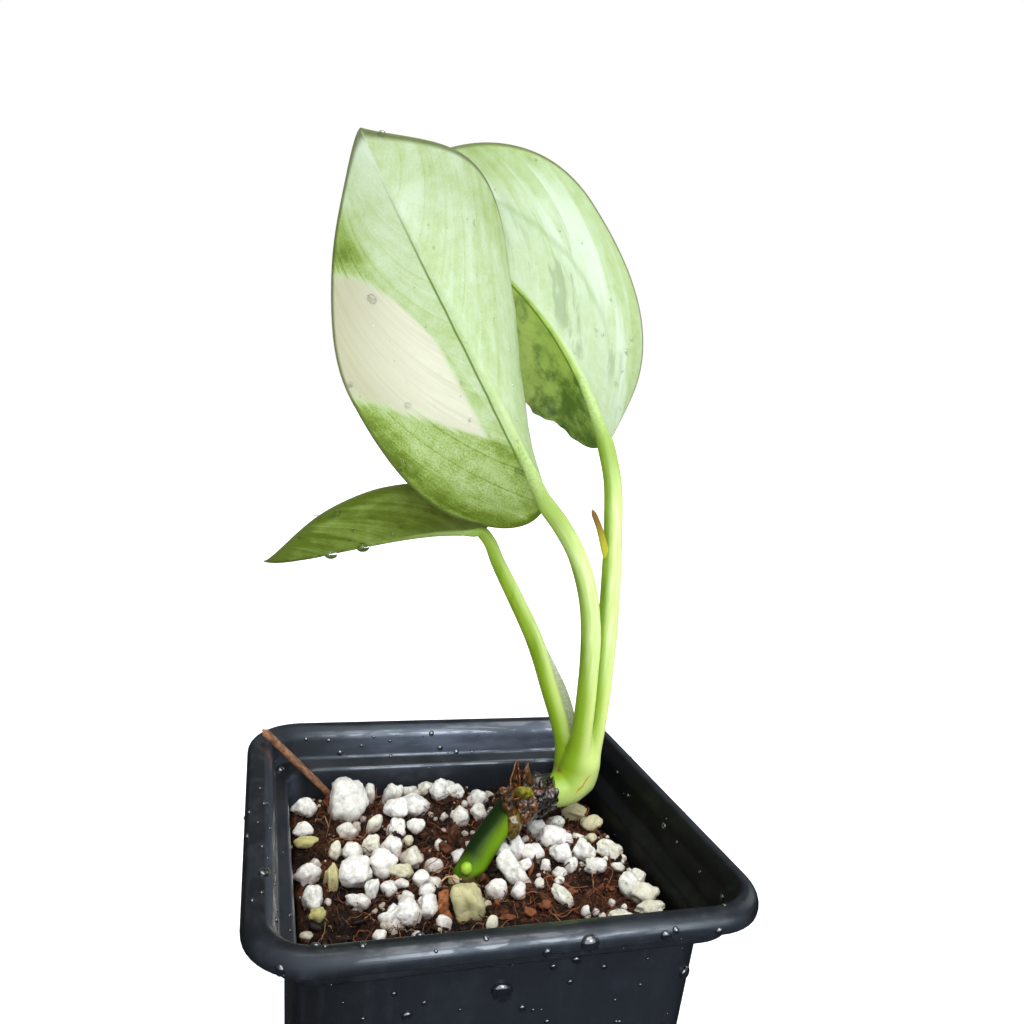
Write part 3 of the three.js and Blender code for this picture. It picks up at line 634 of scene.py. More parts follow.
# %% Perlite grains
# Where each grain stands in the photograph, its half width and half height there, its lean in
# degrees to the right, and how much algae or dirt has stained it
PHOTO_GRAINS = [
    (346, 802, 18, 23, 8, 0.06), (301, 809, 12, 10, 0, 0.02), (292, 830, 9, 7, 0, 0), (304, 842, 11, 6, -5, 0.95),
    (369, 791, 6, 10, 0, 0.15), (390, 790, 9, 15, 20, 0.1), (410, 792, 9, 7, 0, 0.05), (398, 811, 13, 11, 0, 0),
    (415, 806, 14, 11, 10, 0), (437, 777, 12, 11, 20, 0.1), (440, 790, 9, 11, 0, 0), (455, 792, 8, 7, 0, 0),
    (424, 784, 8, 6, 0, 0.2), (476, 800, 11, 9, 0, 0.05), (461, 817, 10, 10, 0, 0.1), (374, 825, 6, 10, 22, 0.3),
    (396, 829, 9, 10, 0, 0.05), (416, 825, 8, 8, 30, 0.05), (347, 832, 9, 8, 0, 0.1), (356, 827, 5, 5, 0, 0.1),
    (335, 852, 6, 10, 10, 0.35), (354, 852, 10, 10, 0, 0.1), (355, 871, 15, 14, 0, 0), (371, 846, 9, 10, 0, 0.3),
    (383, 862, 13, 13, 20, 0), (391, 850, 11, 12, 20, 0), (332, 879, 7, 15, 3, 0.85), (300, 876, 12, 10, 0, 0),
    (314, 867, 7, 7, 0, 0), (306, 901, 10, 14, 8, 0.05), (316, 915, 8, 8, 0, 0.95), (372, 890, 7, 12, 12, 0),
    (357, 902, 12, 9, 15, 0), (389, 889, 8, 7, 30, 0), (400, 884, 8, 5, 0, 0), (394, 918, 13, 13, 0, 0),
    (408, 914, 12, 13, 0, 0), (427, 906, 10, 12, 0, 0), (427, 890, 8, 7, 0, 0), (406, 897, 8, 6, 0, 0),
    (421, 879, 9, 8, 0, 0.05), (434, 881, 8, 7, 0, 0.2), (412, 861, 12, 12, 0, 0.25), (402, 873, 11, 8, 0, 0.55),
    (513, 869, 11, 22, -38, 0.05), (500, 850, 10, 8, 0, 0), (516, 849, 9, 12, -15, 0), (532, 854, 12, 10, 0, 0),
    (496, 890, 10, 12, 20, 0.05), (519, 891, 9, 8, 0, 0), (525, 865, 7, 6, 0, 0), (537, 829, 10, 9, 0, 0.05),
    (550, 838, 14, 11, 0, 0), (555, 824, 9, 7, 0, 0.1), (565, 840, 8, 7, 0, 0), (562, 853, 12, 9, 0, 0),
    (584, 851, 12, 11, 10, 0), (595, 865, 11, 8, 0, 0), (571, 866, 7, 7, 0, 0), (546, 866, 6, 6, 0, 0),
    (606, 849, 10, 8, 0, 0.1), (630, 851, 9, 12, -30, 0.3), (641, 877, 8, 8, 0, 0.15), (629, 887, 9, 14, -15, 0.05),
    (655, 891, 14, 11, -8, 0.35), (664, 908, 17, 7, -6, 0.35), (622, 915, 12, 6, 0, 0.2), (586, 912, 5, 7, 0, 0),
    (596, 910, 4, 4, 0, 0), (602, 916, 4, 4, 0, 0), (612, 900, 4, 4, 0, 0), (564, 896, 6, 14, -45, 0.25),
    (300, 937, 7, 5, 0, 0.3), (575, 813, 11, 9, 0, 0.75), (592, 822, 10, 8, 0, 0.7), (492, 925, 6, 8, 10, 0.4),
    (468, 906, 13.5, 20, -12, 0.8), (560, 878, 5, 4, 0, 0), (478, 812, 8, 8, 0, 0.1), (540, 883, 5, 5, 0, 0.1), (380, 936, 7, 6, 0, 0.1),
]
MIDDLING_GRAINS = 34
SMALL_GRAINS = 210


def ball(level):
    """Points and triangles of a fine ball of radius 1."""
    bm = bmesh.new()
    bmesh.ops.create_icosphere(bm, subdivisions=level, radius=1)
    points = np.array([v.co[:] for v in bm.verts])
    faces = [tuple(v.index for v in f.verts) for f in bm.faces]
    bm.free()
    return points, faces


BALLS = {level: ball(level) for level in (2, 3, 4)}


def lump(level, rng, planes=8, flat=(0.64, 0.95), rough=0.09, coarse=0.26):
    """A broken, rounded lump of about radius 1."""
    points, faces = BALLS[level]
    sides = rng.normal(size=(planes, 3))
    sides /= np.linalg.norm(sides, axis=1, keepdims=True)
    reach = rng.uniform(*flat, planes)
    facing = np.maximum(points @ sides.T, 1e-3)
    radius = np.minimum(1, (reach / facing).min(1))
    at = rng.uniform(0, 100, 3)
    swell = np.array([noise.noise(Vector(p * 1.35 + at)) for p in points])
    pits = np.array([noise.noise(Vector(p * 4.5 + at)) for p in points])
    return points * (radius + coarse * swell + rough * pits)[:, None], faces


def turned(points, rng):
    """The points after a random turn about a random axis."""
    axis = Vector(rng.normal(size=3)).normalized()
    return points @ np.array(Matrix.Rotation(rng.uniform(0, 2 * math.pi), 3, axis)).T


def seen_at(x, y, z):
    """The point at height z that the camera sees at a place in the photograph."""
    middle = PHOTO_SIDE / 2
    ray = ahead + rightward * ((x - middle) / FOCAL_PIXELS) - upward * ((y - middle) / FOCAL_PIXELS)
    return np.array(Vector(EYE) + ray * ((z - EYE[2]) / ray.z))


camera_axes = np.array([rightward, upward, -ahead])


def rested(points, sink):
    """The points of a loose piece, let down until it is sunk a little into the bed."""
    above = min(z - mix_surface_height(x, y) for x, y, z in points)
    return points - (0, 0, max(above + sink, 0))


def photo_grain(x, y, half_wide, half_tall, lean, rng, block=False):
    """A grain where the photograph shows it, kept inside the walls and let down on to the bed.
    Sizes are in the photograph's own pixels."""
    place = seen_at(x, y, MIX_LEVEL + 0.8)
    scale = (place - np.array(EYE)) @ np.array(ahead) / FOCAL_PIXELS
    wide, tall = half_wide * scale, half_tall * scale
    height, room = mix_height(place[0], place[1]) + 0.25 * tall, mix_edge - 0.9 * max(wide, tall) - 0.2
    place = seen_at(x, y, height)
    place[:2] = np.clip(place[:2], -room, room)
    level = 4 if max(wide, tall) > 1.7 else 3 if max(wide, tall) > 0.9 else 2
    points, faces = lump(level, rng)
    if block:
        points = points / (np.abs(points) ** 4).sum(1, keepdims=True) ** 0.25 * np.linalg.norm(points, axis=1)[:, None]
    else:
        points = turned(points, rng)
    points = points * (wide, tall, 0.85 * min(wide, tall) + 0.15 * max(wide, tall))
    points = points @ np.array(Matrix.Rotation(math.radians(lean), 3, "Z"))
    return rested(points @ camera_axes + place, 0.3 * tall), faces, (place[0], place[1], max(wide, tall))


rng = np.random.default_rng(5)
grain_parts, tints, placed = [], [], []
for x, y, half_wide, half_tall, lean, stain in PHOTO_GRAINS:
    blocky = half_wide > 13 and stain > 0.7
    points, faces, where = photo_grain(x, y, half_wide * 1.1, half_tall * 1.1, lean, rng, blocky)
    grain_parts.append((points, faces))
    tints.append(np.full(len(points), stain))
    placed.append(where)


# Where the photograph shows bare, dark or fibrous mix: the place in it and the reach in millimetres
BARE_PLACES = [(seen_at(x, y, MIX_LEVEL), reach) for x, y, reach in (
    (340, 926, 4.5), (366, 932, 3), (530, 905, 4.5), (558, 908, 4), (590, 893, 4), (290, 918, 3))]


def clear_of(x, y, size, share):
    bare = all(math.hypot(at[0] - x, at[1] - y) > reach for at, reach in BARE_PLACES)
    return bare and all(math.hypot(px - x, py - y) > share * (wide + size) for px, py, wide in placed)


def strew(count, smallest, spread, share, stained):
    """Grains in places that are still free, near others that are there already."""
    done = tries = 0
    while done < count and tries < 40 * count:
        tries += 1
        size = smallest + spread * rng.random() ** 2
        x, y = rng.uniform(-1, 1, 2) * (mix_edge - size - 0.4)
        if rng.random() < 0.75:
            cx, cy, wide = placed[rng.integers(len(PHOTO_GRAINS))]
            x, y = np.clip(rng.normal((cx, cy), 1.2 + wide), size - mix_edge + 0.4, mix_edge - size - 0.4)
        if not clear_of(x, y, size, share):
            continue
        points, faces = lump(3 if size > 0.8 else 2, rng)
        points = turned(points, rng) * (size, size * rng.uniform(0.6, 1), size * rng.uniform(0.7, 1))
        points = points @ np.array(Matrix.Rotation(rng.uniform(0, math.pi), 3, "Z")).T
        points = rested(points + (x, y, mix_surface_height(x, y) + 0.3 * size), 0.3 * size)
        grain_parts.append((points, faces))
        tints.append(np.full(len(points), stained * rng.random() ** 3))
        placed.append((x, y, size))
        done += 1
    return done


middling = strew(MIDDLING_GRAINS, 1.1, 1.3, 0.95, 0.6)
small = strew(SMALL_GRAINS, 0.22, 0.7, 0.7, 0.5)
grains = add_mesh("perlite_grains", *gathered(grain_parts), {"stain": np.concatenate(tints)})
print(f"{len(PHOTO_GRAINS)} grains as photographed, {middling} middling and {small} small")


def attribute(tree, name, out="Fac"):
    return Wire.node(tree, "Attribute", {"attribute_name": name}, out=out)


def perlite_surface(tree):
    place = millimetres(tree)
    _, _, z = axes(place)
    stain = attribute(tree, "stain")
    blot = cloud(place, 1.1, 4, 0.6)
    dirt = cloud(place, 0.5, 4, 0.7).rise(0.52, 0.7)
    pores = Wire.node(tree, "TexVoronoi", {}, {"Vector": place, "Scale": 2.6, "Randomness": 1.0},
                      out="Distance")
    base = blend(blot.rise(0.4, 0.62), paint(212, 207, 198), paint(240, 238, 232))
    base = blend(stain, base, paint(178, 170, 104))
    buried = z.rise(MIX_LEVEL + 1.6, MIX_LEVEL - 0.9)
    base = blend((dirt * 0.26 + buried * 0.6).smaller(1), base, paint(118, 84, 62))
    height = pores.rise(0.0, 0.42) * 0.5 + cloud(place, 0.22, 3, 0.7) * 0.5
    return Wire.node(tree, "BsdfPrincipled", {}, {
        "Base Color": base, "Roughness": 0.85, "Specular IOR Level": 0.25,
        "Subsurface Weight": 0.12, "Subsurface Radius": (1.0, 0.9, 0.8), "Subsurface Scale": 0.0006,
        "Normal": relief(height, 0.16)})


settle(grains, finish("perlite_white", perlite_surface), "perlite")

# %% [markdown]
# Between the white grains lie crumbs of peat, flakes of husk and wiry coir fibres. Crumbs are small
# lumps like the grains, darker and more angular. A fibre is a thin tube along a wandering path that
# starts in the bed and mostly lies on it.

# %% Crumbs and fibres
CRUMB_COUNT = 1500
FIBRE_COUNT = 900


def tube(path, radii, sides=4):
    """A thin closed tube along points, for fibres and veins."""
    path = np.asarray(path, float)
    ways = np.gradient(path, axis=0)
    ways /= np.linalg.norm(ways, axis=1, keepdims=True)
    side = np.cross(ways, [0.31, 0.17, 0.94])
    side /= np.linalg.norm(side, axis=1, keepdims=True)
    other = np.cross(ways, side)
    angle = np.linspace(0, 2 * np.pi, sides, endpoint=False)
    radii = np.asarray(radii, float).reshape(-1, 1, 1)
    rings = path[:, None] + radii * (side[:, None] * np.cos(angle)[:, None]
                                     + other[:, None] * np.sin(angle)[:, None])
    return skin(rings)


def on_bed(rng, margin):
    return rng.uniform(-1, 1, 2) * (mix_edge - margin)


def reddish(x, y):
    """The reddish coir lies mostly in loose heaps."""
    heap = 0.55 + 1.0 * noise.noise(Vector((x * 0.11 + 4, y * 0.11, 2))) + 0.014 * x
    return np.clip(heap - 0.6 * math.exp(-((x + 12) ** 2 + (y + 22) ** 2) / 190), 0, 1)


# Flakes and fibres that stand out in the photograph: places, sizes or lift, and tone from dark to straw
PHOTO_FLAKES = [(443, 905, 6, 17, 6, 0.84), (447, 918, 6, 7, 30, 0.74), (452, 838, 4, 15, 14, 0.42),
                (446, 848, 9, 5, 35, 0.5), (462, 846, 4, 9, -20, 0.34), (612, 890, 7, 3, 20, 0.62),
                (545, 905, 8, 4, -10, 0.66), (530, 912, 6, 4, 15, 0.7), (573, 888, 7, 3, 0, 0.72),
                (508, 915, 8, 3, 5, 0.6), (497, 905, 4, 6, 20, 0.68), (327, 800, 4, 8, 25, 0.6),
                (600, 885, 7, 4, -25, 0.6), (424, 772, 4, 6, 10, 0.5),
                (470, 884, 8, 4, 12, 0.4), (459, 880, 6, 4, -20, 0.5), (481, 876, 4, 6, 10, 0.45)]
PHOTO_FIBRES = [([(441, 882), (450, 878), (462, 877)], 1.6, 0.17, 1.0), ([(287, 848), (289, 866), (291, 884)], 0.7, 0.1, 0.8),
                ([(292, 846), (287, 858), (290, 872)], 1.0, 0.08, 0.75), ([(425, 868), (436, 862), (438, 850)], 1.2, 0.1, 0.7),
                ([(536, 884), (552, 878), (570, 886), (588, 884)], 1.2, 0.1, 0.85),
                ([(545, 872), (556, 886), (560, 900)], 1.0, 0.09, 0.8), ([(600, 866), (612, 872), (606, 886)], 1.2, 0.09, 0.85),
                ([(518, 900), (532, 894), (546, 898), (556, 910)], 0.9, 0.12, 0.75),
                ([(416, 900), (420, 912), (414, 926)], 1.2, 0.08, 0.8), ([(323, 800), (330, 816), (326, 836)], 1.1, 0.1, 0.7)]


crumb_parts, crumb_tones = [], []
for _ in range(CRUMB_COUNT):
    x, y = on_bed(rng, 1.2)
    size = 0.22 + 0.75 * rng.random() ** 3
    points, faces = lump(2, rng, planes=9, flat=(0.5, 0.95), rough=0.25, coarse=0.3)
    points = points * (rng.uniform(1, 2.1), rng.uniform(0.5, 0.9), rng.uniform(0.25, 0.6))
    points = turned(points, rng) * size
    crumb_parts.append((rested(points + (x, y, mix_surface_height(x, y) + 0.2 * size), 0.3 * size), faces))
    crumb_tones.append(np.full(len(points), 0.8 * rng.random() * reddish(x, y) + 0.1 * rng.random()))
for x, y, half_wide, half_tall, lean, tone in PHOTO_FLAKES:
    points, faces, _ = photo_grain(x, y, half_wide, half_tall, lean, rng)
    curl = np.array([noise.noise_vector(Vector(p * 1.1)) for p in points])
    crumb_parts.append((rested(points + 0.45 * curl, 0.3), faces))
    crumb_tones.append(np.full(len(points), tone))
crumbs = add_mesh("coir_crumbs", *gathered(crumb_parts), {"tone": np.concatenate(crumb_tones)})

fibre_parts, fibre_tones = [], []
for picture_path, lift, thick, tone in PHOTO_FIBRES:
    ground = np.array([seen_at(px, py, MIX_LEVEL + lift) for px, py in picture_path])
    path, _ = smooth_route(ground, np.linspace(0, 1, 24))
    path[:, 2] += 0.4 * np.sin(np.linspace(0, 5, 24))
    points, faces = tube(path, thick * np.linspace(1, 0.6, 24))
    fibre_parts.append((points, faces))
    fibre_tones.append(np.full(len(points), tone))
for _ in range(FIBRE_COUNT):
    x, y = on_bed(rng, 2)
    heading, climb = rng.uniform(0, 2 * math.pi), rng.uniform(-0.15, 0.5)
    lift, path = -0.3, []
    curl = rng.normal(0, 0.25)
    steps = rng.integers(6, 14)
    for k in range(steps):
        limit = mix_edge - 0.8
        x, y = np.clip(x, -limit, limit), np.clip(y, -limit, limit)
        path.append((x, y, mix_surface_height(x, y) + lift))
        heading += curl + rng.normal(0, 0.22)
        stride = rng.uniform(0.45, 0.9)
        x, y = x + stride * math.cos(heading), y + stride * math.sin(heading)
        climb = climb * 0.8 - 0.03 if lift > 1.2 else climb
        lift = max(lift + climb * stride, 0.05)
    thick = rng.uniform(0.04, 0.1) if rng.random() < 0.85 else rng.uniform(0.12, 0.2)
    points, faces = tube(path, thick * np.linspace(1, 0.45, len(path)))
    fibre_parts.append((points, faces))
    fibre_tones.append(np.full(len(points), lerp(rng.random() ** 1.5, 0.75, 0.4 * reddish(x, y))))
fibres = add_mesh("coir_fibres", *gathered(fibre_parts), {"tone": np.concatenate(fibre_tones)})


def coir_surface(tree):
    tone = attribute(tree, "tone")
    place = millimetres(tree)
    colour = Wire.node(tree, "ValToRGB", {"stops": [
        (0, paint(12, 7, 4)), (0.3, paint(50, 27, 16)), (0.6, paint(112, 63, 38)),
        (0.85, paint(160, 98, 60)), (1, paint(210, 174, 116))]}, {"Fac": tone}, out="Color")
    grain = cloud(place, 0.4, 3, 0.7)
    return Wire.node(tree, "BsdfPrincipled", {}, {
        "Base Color": blend(grain.rise(0.35, 0.7) * 0.5, colour, paint(26, 12, 6)),
        "Roughness": 0.5 + grain * 0.3, "Specular IOR Level": 0.25, "Normal": relief(grain, 0.12)})


coir_brown = finish("coir_brown", coir_surface)
settle(crumbs, coir_brown, "potting_mix")
settle(fibres, coir_brown, "potting_mix")

# %% [markdown]
# A leaf blade is two halves that meet at the midrib. The midrib is a curve in space, and each half
# is folded up from it by an angle and curls as it goes out. Left and right are as seen from the
# underside with the tip up. The measures below are the solid model's own, so the finer blade lies
# in the same place.

# %% Measures of the three leaves
LEAVES = {
    "front": {
        "midrib": [(10.8, 8, 123.1), (-0.8, 1.7, 140.2), (-12.4, 6.4, 158.3), (-26.7, -7.9, 175.8)],
        "bearing": 48.4, "pitch": -26.7, "twist": (-18, -9.5), "widest": 0.48, "blunt": 0.02,
        "left": {"width": 21.5, "fold": (16, 8.5, 28), "curl": (-1.3, 0.7), "lobe": 5.5},
        "right": {"width": 26, "fold": (88, 47, 30.5), "curl": (0.9, 1.9), "lobe": 7.4},
    },
    "back": {
        "midrib": [(24.2, 16, 134.5), (16.9, 15.4, 150), (12.9, 28.1, 163.5), (-19.3, 28, 177.8)],
        "bearing": 26.2, "pitch": -1, "twist": (-11, 7.7), "widest": 0.55, "blunt": 0.02,
        "left": {"width": 21.6, "fold": (65, 42, 29), "curl": (0.3, -0.1), "lobe": 2.7},
        "right": {"width": 26, "fold": (62.5, 29, -9), "curl": (-0.3, 1.1), "lobe": 1.4},
    },
    "low": {
        "midrib": [(1.8, 17, 116.1), (-11.6, 18.3, 116.3), (-23.9, 20.3, 109.6), (-36.3, 24, 107.8)],
        "bearing": 10, "pitch": 51.5, "twist": (1, -3.5), "widest": 0.4, "blunt": 0.08,
        "left": {"width": 14, "fold": (45, 40, 30), "curl": (-0.5, -0.5), "lobe": 2},
        "right": {"width": 11.5, "fold": (48, 28, 39), "curl": (-1, -0.4), "lobe": 2.7},
    },
}

# %% [markdown]
# Every point of a blade is found from how far it lies along the midrib and how far out from it. Two
# things are softened here that the solid model leaves sharp: the crease at the midrib becomes a
# round valley, and the flat sheet gets the low swells that real blades have between their veins.

# %% The surface of a leaf
CREASE = 0.7


def bezier(keys, t):
    a, b, c, d = np.asarray(keys, float)
    t = np.asarray(t, float)[..., None]
    return (1 - t) ** 3 * a + 3 * (1 - t) ** 2 * t * b + 3 * (1 - t) * t * t * c + t ** 3 * d


def bezier_way(keys, t):
    a, b, c, d = np.asarray(keys, float)
    t = np.asarray(t, float)[..., None]
    way = (1 - t) ** 2 * (b - a) + 2 * (1 - t) * t * (c - b) + t * t * (d - c)
    return way / np.linalg.norm(way, axis=-1, keepdims=True)


def quadratic(values, u):
    a, b, c = values
    return a * (1 - u) * (1 - 2 * u) + b * 4 * u * (1 - u) + c * u * (2 * u - 1)


class LeafSurface:
    """Where the points of one blade lie."""

    def __init__(self, leaf):
        self.leaf = leaf
        self.t = np.linspace(0, 1, 400)
        dense = bezier(leaf["midrib"], self.t)
        self.run = np.concatenate([[0], np.cumsum(np.linalg.norm(np.diff(dense, axis=0), axis=1))])
        self.length = self.run[-1]
        bearing, pitch = math.radians(leaf["bearing"]), math.radians(leaf["pitch"])
        self.face = np.array([math.sin(bearing) * math.cos(pitch),
                              math.cos(bearing) * math.cos(pitch), math.sin(pitch)])

    def frame(self, along):
        """Centre, direction, upper side and right side at a distance along the midrib."""
        t = np.interp(np.clip(along, 0, self.length), self.run, self.t)
        way = bezier_way(self.leaf["midrib"], t)
        centre = bezier(self.leaf["midrib"], t) + way * np.minimum(along, 0)[..., None]
        up = self.face - way * (way @ self.face)[..., None]
        up /= np.linalg.norm(up, axis=-1, keepdims=True)
        across = np.cross(up, way)
        share = np.clip(along / self.length, 0, 1)
        twist = np.radians(lerp(*self.leaf["twist"], share))[..., None]
        upper = up * np.cos(twist) + across * np.sin(twist)
        right = across * np.cos(twist) - up * np.sin(twist)
        return centre, way, upper, right

    def at(self, along, out, side):
        half = self.leaf["right" if side > 0 else "left"]
        centre, _, upper, right = self.frame(along)
        share = np.clip(along / self.length, 0, 1)
        fold = np.radians(quadratic(half["fold"], share))
        bend = np.radians(lerp(*half["curl"], share)) * out * 0.5
        chord = out * np.sinc(bend / np.pi)
        sideways = chord * np.cos(fold + bend)
        lift = chord * np.sin(fold + bend)
        lift = np.sign(lift) * (np.sqrt(lift ** 2 + CREASE ** 2) - CREASE)
        return centre + right * (side * sideways)[..., None] + upper * lift[..., None]

    def outline(self, side, steps):
        """Half of the flat outline, from the base round the lobe to the tip: along and out."""
        half = self.leaf["right" if side > 0 else "left"]
        width, lobe, length = half["width"], half["lobe"], self.length
        wide_at = self.leaf["widest"] * length
        t = np.linspace(0, 1, steps + 1)
        lobed = bezier([(0, 0), (-1.35 * lobe, 0.18 * width), (-1.1 * lobe, width), (wide_at, width)], t)
        taper = bezier([(wide_at, width), (wide_at + 0.45 * (length - wide_at), width),
                        (length * (1 - self.leaf["blunt"]), 0.16 * width), (length, 0)], t)
        return np.concatenate([lobed, taper[1:]])


SURFACES = {name: LeafSurface(leaf) for name, leaf in LEAVES.items()}
for name, surface in SURFACES.items():
    print(f"leaf {name}: midrib {surface.length:.1f} mm")

# %% [markdown]
# The side veins of a pothos leave the midrib at a slant, bend towards the tip and end near the
# margin. Each one is a curve that starts at some place s on the midrib. Turned round, that gives
# every point of the blade its own s, the vein that would pass through it. It is found by halving an
# interval, and the finish later draws all veins, streaks and marbling along it.

# %% Which vein passes through a point
VEIN_SLANT = 0.85
VEIN_PEAK = VEIN_SLANT ** VEIN_SLANT * 0.5 ** 0.5 / (VEIN_SLANT + 0.5) ** (VEIN_SLANT + 0.5)


def vein_out(start, along, length, width):
    """How far out the vein from start has come when it is so far along."""
    share = np.clip((along - start) / (length * 1.02 - start), 0, 1)
    reach = 0.92 * width * np.maximum(length - start, 0) / length
    return reach * share ** VEIN_SLANT * (1 - share) ** 0.5 / VEIN_PEAK


def vein_start(along, out, length, width):
    low = np.full_like(along, -2.2 * length)
    high = np.minimum(along, length)
    for _ in range(26):
        middle = (low + high) / 2
        too_far = vein_out(middle, along, length, width) > out
        low, high = np.where(too_far, middle, low), np.where(too_far, high, middle)
    return (low + high) / 2

# %% [markdown]
# A blade's mesh is a grid for each half: rows run from the midrib to the margin, and columns crowd
# towards the midrib, where the shape changes most. The grid is laid once for the underside and once
# for the upper side, half a thickness apart and thinner at the margin, and the two are joined by a
# round edge. The midrib and the main side veins stand out on the underside as low ridges.

# %% Blade meshes
BLADE_THICK = 0.5
EDGE_THICK = 0.2
ROW_STEPS = 84
COLUMNS = 34
RIB_HEIGHT = (0.9, 0.1)
RIB_WIDTH = (1.9, 0.5)
RIB_REACH = 0.93
RIB_TAPER = 0.5
MAIN_VEIN_GAP = 7.0


def half_grid(surface, side):
    """Distances along and out of one half's grid, and its share from the midrib to the margin."""
    edge = surface.outline(side, ROW_STEPS)
    row = np.linspace(0, 1, len(edge))
    root = np.clip(1.25 * row - 0.25, 0, 1) * surface.length
    share = np.linspace(0, 1, COLUMNS + 1) ** 1.35
    along = root[:, None] * (1 - share) + edge[:, :1] * share
    out = edge[:, 1:] * share
    return along, out, np.broadcast_to(share, along.shape), np.broadcast_to(row[:, None], along.shape)


def blade_mesh(name, ripple):
    """ripple(along, out, share, row, side) gives how far the blade swells off its plain surface."""
    surface = SURFACES[name]
    length = surface.length
    points, normals, values, grids, known = [], [], [], {}, {}
    for side in (-1, 1):
        width = surface.leaf["right" if side > 0 else "left"]["width"]
        along, out, share, row = half_grid(surface, side)
        place = surface.at(along, out, side)
        step = 0.05
        slope_along = surface.at(along + step, out, side) - surface.at(along - step, out, side)
        slope_out = surface.at(along, out + step, side) - surface.at(along, np.maximum(out - step, 0), side)
        normal = np.cross(slope_out, slope_along) * side
        normal /= np.linalg.norm(normal, axis=-1, keepdims=True)
        place = place + normal * ripple(along, out, share, row, side)[..., None]
        vein = vein_start(along, out, length, width)
        rim = (1 - share) * np.maximum(surface.outline(side, ROW_STEPS)[:, 1:], 0.5)
        grid = np.zeros(along.shape, int)
        for i, j in np.ndindex(along.shape):
            key = tuple(np.round(place[i, j], 3))
            if key not in known:
                known[key] = len(points)
                points.append(place[i, j])
                normals.append(normal[i, j])
                values.append((along[i, j], side * out[i, j], vein[i, j], rim[i, j], share[i, j]))
            grid[i, j] = known[key]
        grids[side] = grid
    points, normals, values = np.array(points), np.array(normals), np.array(values)
    along, out, vein, rim, share = values.T
    along_share = np.clip(along / length, 0, 1)
    height = lerp(*RIB_HEIGHT, np.clip(along_share / RIB_REACH, 0, 1) ** 0.7)
    wide = lerp(*RIB_WIDTH, np.clip(along_share, 0, 1) ** RIB_TAPER)
    rib = height * np.exp(-(out / wide) ** 2) * np.clip((1 - along_share) / (1 - RIB_REACH), 0, 1)
    rib = rib * np.clip((along + 0.5) / 4, 0, 1)
    phase = (vein / MAIN_VEIN_GAP + 0.5) % 1 - 0.5
    side_vein = np.exp(-(phase * MAIN_VEIN_GAP / 0.42) ** 2) * np.clip(np.abs(out) / 2, 0, 1)
    ridge = rib + 0.05 * side_vein * np.clip(share * 4, 0, 1) * np.clip((1 - share) * 3, 0, 1)
    half = 0.5 * lerp(BLADE_THICK, EDGE_THICK, np.clip(1 - rim / 3, 0, 1) ** 2)
    under = points + normals * (half + ridge)[:, None]
    upper = points - normals * (half - 0.35 * rib)[:, None]
    count = len(points)
    faces, used = [], set()
    for side, grid in grids.items():
        for i in range(grid.shape[0] - 1):
            for j in range(grid.shape[1] - 1):
                corners = [grid[i, j], grid[i, j + 1], grid[i + 1, j + 1], grid[i + 1, j]]
                if side < 0:
                    corners.reverse()
                corners = [c for k, c in enumerate(corners) if c != corners[k - 1]]
                if len(set(corners)) > 2:
                    faces.append(tuple(corners))
                    used.update(zip(corners, corners[1:] + corners[:1]))
    open_edges = [(a, b) for a, b in used if (b, a) not in used]
    edge_points = sorted({i for pair in open_edges for i in pair})
    middle = {i: 2 * count + k for k, i in enumerate(edge_points)}
    outward = {}
    for side, grid in grids.items():
        for i in range(grid.shape[0]):
            if grid[i, -1] in middle:
                way = points[grid[i, -1]] - points[grid[i, -2]]
                size = np.linalg.norm(way)
                outward[grid[i, -1]] = way / size if size > 1e-6 else way
    bead = np.array([points[i] + outward.get(i, 0) * EDGE_THICK * 0.45 for i in edge_points])
    everything = np.concatenate([upper, under, bead])
    whole = [tuple(f) for f in faces]
    whole += [tuple(i + count for i in reversed(f)) for f in faces]
    for a, b in open_edges:
        whole.append((b, a, middle[a], middle[b]))
        whole.append((middle[b], middle[a], a + count, b + count))
    side_flag = np.concatenate([np.zeros(count), np.ones(count), np.full(len(bead), 0.5)])
    picks = np.concatenate([np.arange(count), np.arange(count), edge_points]).astype(int)
    place_values = np.column_stack([along[picks], out[picks], side_flag])
    flow_values = np.column_stack([vein[picks], rim[picks], share[picks]])
    return add_mesh(f"blade_{name}_skin", everything, whole, {"leaf": place_values, "flow": flow_values})


def front_ripple(along, out, share, row, side):
    """Low swells between the veins, and a puckered margin near the base of the right half."""
    swell = 0.16 * np.sin(along * 0.33 + out * 0.21 * side) * share * (1 - 0.5 * share)
    pucker = 0.0
    if side > 0:
        where = np.exp(-((row - 0.34) / 0.17) ** 2) * share ** 4
        wander = np.sin(along * 0.61 + 2) * np.sin(along * 0.27)
        pucker = where * (0.26 * np.sin(along * 0.9 + 1.5 * wander) + 0.12 * wander * np.sin(along * 2.3 + 1))
    return swell + pucker


def back_ripple(along, out, share, row, side):
    swell = 0.2 * np.sin(along * 0.27 - out * 0.2 * side + 1) * share * (1 - 0.4 * share)
    pucker = 0.0
    if side < 0:
        where = np.exp(-((row - 0.33) / 0.15) ** 2) * share ** 4
        pucker = where * (0.55 * np.sin(along * 0.5 + 2) + 0.16 * np.sin(along * 1.7))
    return swell + pucker


def low_ripple(along, out, share, row, side):
    return 0.12 * np.sin(along * 0.5 + out * 0.3) * share


blades = {
    "front": blade_mesh("front", front_ripple),
    "back": blade_mesh("back", back_ripple),
    "low": blade_mesh("low", low_ripple),
}

